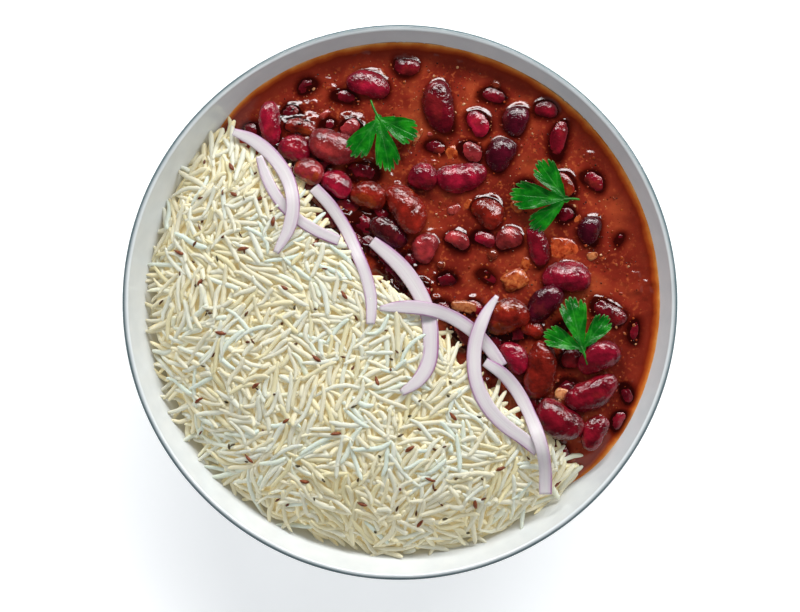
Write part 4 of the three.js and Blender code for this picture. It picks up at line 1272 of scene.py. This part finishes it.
def leaf_blade(joint, lean, lobes, joint_height, seed):
    """Points of a blade and its marks: two sheets on a grid of headings and shares of the reach, joined at
    the rim, that droop with the square of the distance, wave along the rim and lean."""
    heading = np.arange(LEAF_STEPS) * 360 / LEAF_STEPS
    between = np.min([np.abs(turn_between(lobe[0], heading)) / lobe[2] for lobe in lobes], axis=0)
    web = np.where(between < 1.1, WEB, HEEL)
    outline = np.max([lobe_reach(heading, lobe) for lobe in lobes] + [web], axis=0)
    share = np.sin(np.linspace(0, 1, LEAF_RINGS + 1)[1:] * np.pi / 2)[:, None]
    reach = share * outline
    angle = np.radians(heading)
    flat = np.stack([reach * np.cos(angle), reach * np.sin(angle), 0 * reach], axis=-1)
    vein = vein_map(heading + 0 * reach, reach, lobes) * (share < 0.985)
    wave = 0.6 * lumps(flat + 50 * seed, 6.0) + 0.45 * lumps(flat + 50 * seed + 9, 2.6)
    curl = CURL * share**6 * lumps(flat + 70 * seed, 4.0)
    cup = CUP * np.clip(between, 0, 1) ** 2 * np.clip(reach / 16, 0, 1)
    height = (wave + curl + cup) * np.clip(reach / 6, 0, 1) - DROOP * (reach / DROOP_REACH) ** 2
    thick = LEAF_THICKNESS * np.where(share > 0.99, 0.3, 1) * np.clip(outline / 4, 0.5, 1)
    upper = flat + np.stack([0 * reach, 0 * reach, height + thick / 2 - VEIN_SINKS * vein], axis=-1)
    lower = flat + np.stack([0 * reach, 0 * reach, height - thick / 2 - VEIN_STANDS * vein], axis=-1)
    middle = np.array([0, 0, LEAF_THICKNESS / 2])
    points = with_poles(-middle, np.concatenate([lower, upper[::-1]]), middle)
    marks = {}
    for name, values in (("vein", vein), ("rim", share + 0 * reach)):
        marks[name] = np.concatenate([[values[0, 0]], values.ravel(), values[::-1].ravel(), [values[0, 0]]])
    towards, tilt = np.radians(lean)
    axis = np.array([np.sin(towards), -np.cos(towards), 0])
    along_axis = points @ axis
    leaned = points * np.cos(tilt) + np.cross(axis, points) * np.sin(tilt)
    leaned += axis * along_axis[:, None] * (1 - np.cos(tilt))
    return leaned + (*joint, joint_height), marks


def stalk_points(joint, stalk, joint_height):
    """Points of a stalk: a round rod that leaves the joint level, thins a little, and droops to its cut
    end."""
    heading, length = np.radians(stalk[0]), stalk[1]
    t = np.linspace(-STALK_HEEL, 1, STALK_STEPS)[:, None]
    angle = angles_round(STALK_AROUND)
    radius = STALK_WIDTH / 2 * (1 - 0.25 * t)
    radius[[0, -1]] *= 0.6
    aside = radius * np.cos(angle) + 0.5 * np.sin(2.2 * t)
    lift = radius * np.sin(angle) - 0.9 * t**2
    return capped(np.stack([*laid_out(*joint, heading, t * length, aside), joint_height + lift], axis=-1))


def coriander_leaf(node):
    """Fresh coriander: bright waxy green, mottled a little, with veins and rim paler, and light coming
    through."""
    place = node("TexCoord").outputs["Object"]
    vein = node("Attribute", attribute_name="vein").outputs["Fac"]
    rim = node("Attribute", attribute_name="rim").outputs["Fac"]
    patches = node("TexNoise", {"Vector": place, "Scale": 1 / (5 * MM), "Detail": 4.0})
    green = node("ValToRGB", {"Fac": patches}, [(0.3, "#02420a"), (0.5, "#045e0a"), (0.72, "#1c7e10")])
    veined = node("MapRange", {"Value": vein, "From Min": 0.15, "From Max": 1.0, "To Max": 0.06})
    veined = node("Mix", {"Factor": veined, "A": green, "B": "#7cc46c"}, data_type="RGBA")
    pale = node("MapRange", {"Value": rim, "From Min": 0.955, "From Max": 1.0, "To Max": 0.15})
    colour = node("Mix", {"Factor": pale, "A": veined, "B": "#b7d694"}, data_type="RGBA")
    cells = node("TexNoise", {"Vector": place, "Scale": 1 / (0.8 * MM), "Detail": 3.0})
    bump = node("Bump", {"Height": cells, "Strength": 0.5, "Distance": 0.3 * MM})
    return node(
        "BsdfPrincipled",
        {
            "Base Color": colour, "Roughness": 0.25, "IOR": 1.34, "Subsurface Weight": 0.1,
            "Subsurface Radius": (0.3, 1.0, 0.2), "Subsurface Scale": 0.6 * MM, "Normal": bump,
        },
    )


leaf_green = new_material("fresh_coriander", coriander_leaf)
blade_skins = ring_faces(2 * LEAF_RINGS, LEAF_STEPS)
stalk_skins = ring_faces(STALK_STEPS, STALK_AROUND)
for index, (joint, stalk, lean, lobes) in enumerate(LEAVES):
    name = f"coriander_{index + 1}"
    joint_height = drop_onto(node_tree_of(name), joint[0] + 0.3, joint[1] + 0.2) - 0.3
    blade, marks = leaf_blade(joint, lean, lobes, joint_height, index)
    rod = stalk_points(joint, stalk, joint_height)
    marks["vein"] = np.append(marks["vein"], np.ones(len(rod)))
    marks["rim"] = np.append(marks["rim"], np.full(len(rod), STALK_RIM))
    faces = blade_skins + [group + len(blade) for group in stalk_skins]
    leaf = add_piece("fresh_" + name, np.concatenate([blade, rod]), faces, leaf_green, marks)
    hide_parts(name)


# ---- Drops and specks in the sauce ----
# What floats between the beans: drops of red oil that rose out of the sauce as it stewed, grains of onion
# and tomato pulp, and dark specks of ground spice and herb.

DROP_RINGS, DROP_AROUND = 4, 9
FLOAT_RADIUS, FLOAT_FROM_BORDER, FLOAT_FROM_BEAN = 97.0, 3.0, 0.6
FLOAT_SIDE, FLOAT_ROWS = 95, (2, 99)  # where spots are tried, along u and v


def float_points(places, radii, stretch, headings, flatness):
    """Points of many small domes at once: balls that are flattened, drawn out one way and turned, and half
    sunk in the sauce at their places."""
    shape = np.stack([stretch, 1 / stretch, flatness], axis=-1) * radii[:, None]
    along, aside, lift = np.moveaxis(ball_points(DROP_RINGS, DROP_AROUND) * shape[:, None], -1, 0)
    x, y, z = places.T[:, :, None]
    return np.stack([*laid_out(x, y, headings[:, None], along, aside), z + lift], axis=-1)


top_faces = sauce_faces[0][: (SAUCE_GRID[0] - 1) * (SAUCE_GRID[1] - 1)]
sauce_tree = BVHTree.FromPolygons((sauce_mesh * MM).tolist(), top_faces.tolist())


def spots_on_sauce(rng, count):
    """Random places on the sauce's surface, at least some way from the beans, the border and the wall."""
    found = []
    while len(found) < count:
        x, y = across(rng.uniform(-FLOAT_SIDE, FLOAT_SIDE), rng.uniform(*FLOAT_ROWS))
        if np.hypot(x, y) < FLOAT_RADIUS and from_border(x, y) > FLOAT_FROM_BORDER:
            z = drop_onto(sauce_tree, x, y)
            spot = np.array([[x, y, z]])
            if min(beyond_bean(spot, bean)[0] for bean in bean_frames + sunk_frames) > FLOAT_FROM_BEAN:
                found.append(spot[0])
    return np.array(found)


def wet_speck(node):
    """Small wet bits in the sauce, in the colour that each one carries, under a glossy film of sauce."""
    tint = node("Attribute", attribute_name="tint").outputs["Vector"]
    place = node("TexCoord").outputs["Object"]
    film = node("TexNoise", {"Vector": place, "Scale": 1 / (0.7 * MM), "Detail": 2.0})
    shade = node("ValToRGB", {"Fac": film}, [(0.3, "#b0a0a0"), (0.7, "#ffffff")])
    colour = node("Mix", {"Factor": 1.0, "A": tint, "B": shade}, data_type="RGBA", blend_type="MULTIPLY")
    return node("BsdfPrincipled", {"Base Color": colour, "Roughness": 0.12, "IOR": 1.45})


speck_rng = np.random.default_rng(31)
speck_stuff = new_material("wet_speck", wet_speck)
# name, count, smallest and largest radius, flatness, longest stretch, colours
FLOATING = [
    ("oil_drops", 320, 0.2, 0.7, 0.4, 1.1, ("#963c18", "#a2481c", "#8a3014")),
    ("pulp_grains", 300, 0.2, 0.75, 0.5, 1.8, ("#a85a30", "#9c4420", "#c08a60", "#96402a")),
    ("spice_specks", 260, 0.15, 0.4, 0.5, 1.7, ("#2c0d08", "#3a150b", "#1d2410")),
]
for name, count, smallest, largest, flatness, longest, colours in FLOATING:
    places = spots_on_sauce(speck_rng, count)
    radii = smallest + (largest - smallest) * speck_rng.random(count) ** 2.5
    stretch = speck_rng.uniform(1, longest, count) ** 0.5
    headings = speck_rng.uniform(0, np.pi, count)
    points = float_points(places, radii, stretch, headings, np.full(count, flatness))
    palette = np.array([linear_colour(colour)[:3] for colour in colours])
    tints = np.repeat(palette[speck_rng.integers(len(colours), size=count)], points.shape[1], axis=0)
    floating = add_piece(
        name, points.reshape(-1, 3), repeated(ring_faces(DROP_RINGS, DROP_AROUND), count, points.shape[1]),
        speck_stuff, {"tint": tints},
    )


# ---- Bubbles ----
# A few air bubbles that the thick sauce has kept from its simmering: low domes with a thin, wet, bright
# skin of oil and sauce.

BUBBLES = [(37, 19, 2.5), (38.5, 87, 2.0), (16, 15, 1.8), (58, 52, 1.2), (-12, 84, 1.3)]  # x, y, radius
BUBBLE_FLATNESS = 0.75


def bubble_film(node):
    """A bubble's skin: a thin wet film of oily sauce that shows some of what is under it."""
    return node(
        "BsdfPrincipled",
        {
            "Base Color": "#8c3420", "Roughness": 0.03, "IOR": 1.45, "Transmission Weight": 0.5,
            "Coat Weight": 1.0, "Coat Roughness": 0.02, "Coat IOR": 1.45,
        },
    )


places = np.array([(x, y, drop_onto(sauce_tree, x, y)) for x, y, _ in BUBBLES])
radii = np.array([radius for _, _, radius in BUBBLES])
even = np.ones(len(BUBBLES))
domes = float_points(places, radii, even, 0 * even, BUBBLE_FLATNESS * even)
bubbles = add_piece(
    "sauce_bubbles", domes.reshape(-1, 3),
    repeated(ring_faces(DROP_RINGS, DROP_AROUND), len(BUBBLES), domes.shape[1]),
    new_material("bubble_film", bubble_film),
)


# ---- Studio ----
# A white table, one long soft window light beyond the back of the bowl and a little to its right, a weak
# light from the front that wet surfaces do not mirror, and a glow all round that is brighter overhead. The
# camera looks straight down on the middle of the bowl.

FLOOR_SIZE = 6.0  # metres
KEY = {"place": (0.22, 0.78, 0.62), "size": (1.7, 0.2), "power": 19.0}
FILL = {"place": (-0.5, -0.8, 0.7), "size": (0.9, 0.9), "power": 2.5}
GLOW = 0.42
LOW_GLOW, HIGH_GLOW = 0.7, 1.25  # shares of it at the horizon and overhead
MIRRORED = 0.05  # share of the glow that shiny surfaces mirror: the room itself is dark
SKY = (0.88, 0.94, 1.0, 1)
CAMERA_HEIGHT = 1.145
CAMERA_ASIDE = -0.00146
LENS = 125.1  # millimetres, on a sensor 36 mm wide


def white_table(node):
    """Matt white laminate, with a very faint unevenness a few centimetres wide."""
    place = node("TexCoord").outputs["Object"]
    cloud = node("TexNoise", {"Vector": place, "Scale": 12.0, "Detail": 2.0})
    colour = node("ValToRGB", {"Fac": cloud}, [(0.3, "#f6f6f6"), (0.7, "#fbfbfb")])
    return node(
        "BsdfPrincipled",
        {"Base Color": colour, "Roughness": 0.8, "Emission Color": (1, 1, 1, 1), "Emission Strength": 0.3},
    )


half = FLOOR_SIZE / 2 / MM
table_points = np.array([(-half, -half, 0), (half, -half, 0), (half, half, 0), (-half, half, 0)])
table = add_piece(
    "table", table_points, [np.array([[0, 1, 2, 3]])], new_material("white_table", white_table), body=None
)


def add_softbox(name, place, size, power, mirrored=True):
    """A rectangular area light that faces the bowl. One that is not mirrored gives no shine on wet
    surfaces."""
    light = bpy.data.lights.new(name, "AREA")
    light.shape = "RECTANGLE"
    light.size, light.size_y = size
    light.energy = power
    softbox = bpy.data.objects.new(name, light)
    softbox.location = place
    softbox.rotation_euler = (-Vector(place)).to_track_quat("-Z", "Y").to_euler()
    softbox.visible_glossy = mirrored
    bpy.context.scene.collection.objects.link(softbox)


add_softbox("window_light", **KEY)
add_softbox("front_light", **FILL, mirrored=False)
world = bpy.data.worlds.new("studio")
bpy.context.scene.world = world
world.use_nodes = True
background = world.node_tree.nodes["Background"]
background.inputs["Color"].default_value = SKY
node = partial(add_node, world.node_tree)
sees = node("LightPath").outputs["Is Glossy Ray"]
glow = node("MapRange", {"Value": sees, "To Min": GLOW, "To Max": GLOW * MIRRORED})
direction = node("TexCoord").outputs["Generated"]
height = node("SeparateXYZ", {"Vector": direction}).outputs["Z"]
overhead = node("MapRange", {"Value": height, "To Min": LOW_GLOW, "To Max": HIGH_GLOW})
glow = node("Math", {0: glow, 1: overhead}, operation="MULTIPLY")
world.node_tree.links.new(glow.outputs[0], background.inputs["Strength"])

camera = bpy.data.objects.new("camera", bpy.data.cameras.new("camera"))
camera.location = (0, CAMERA_ASIDE, CAMERA_HEIGHT)
camera.data.lens = LENS
bpy.context.scene.collection.objects.link(camera)
bpy.context.scene.camera = camera
bpy.context.scene.view_settings.view_transform = "Standard"
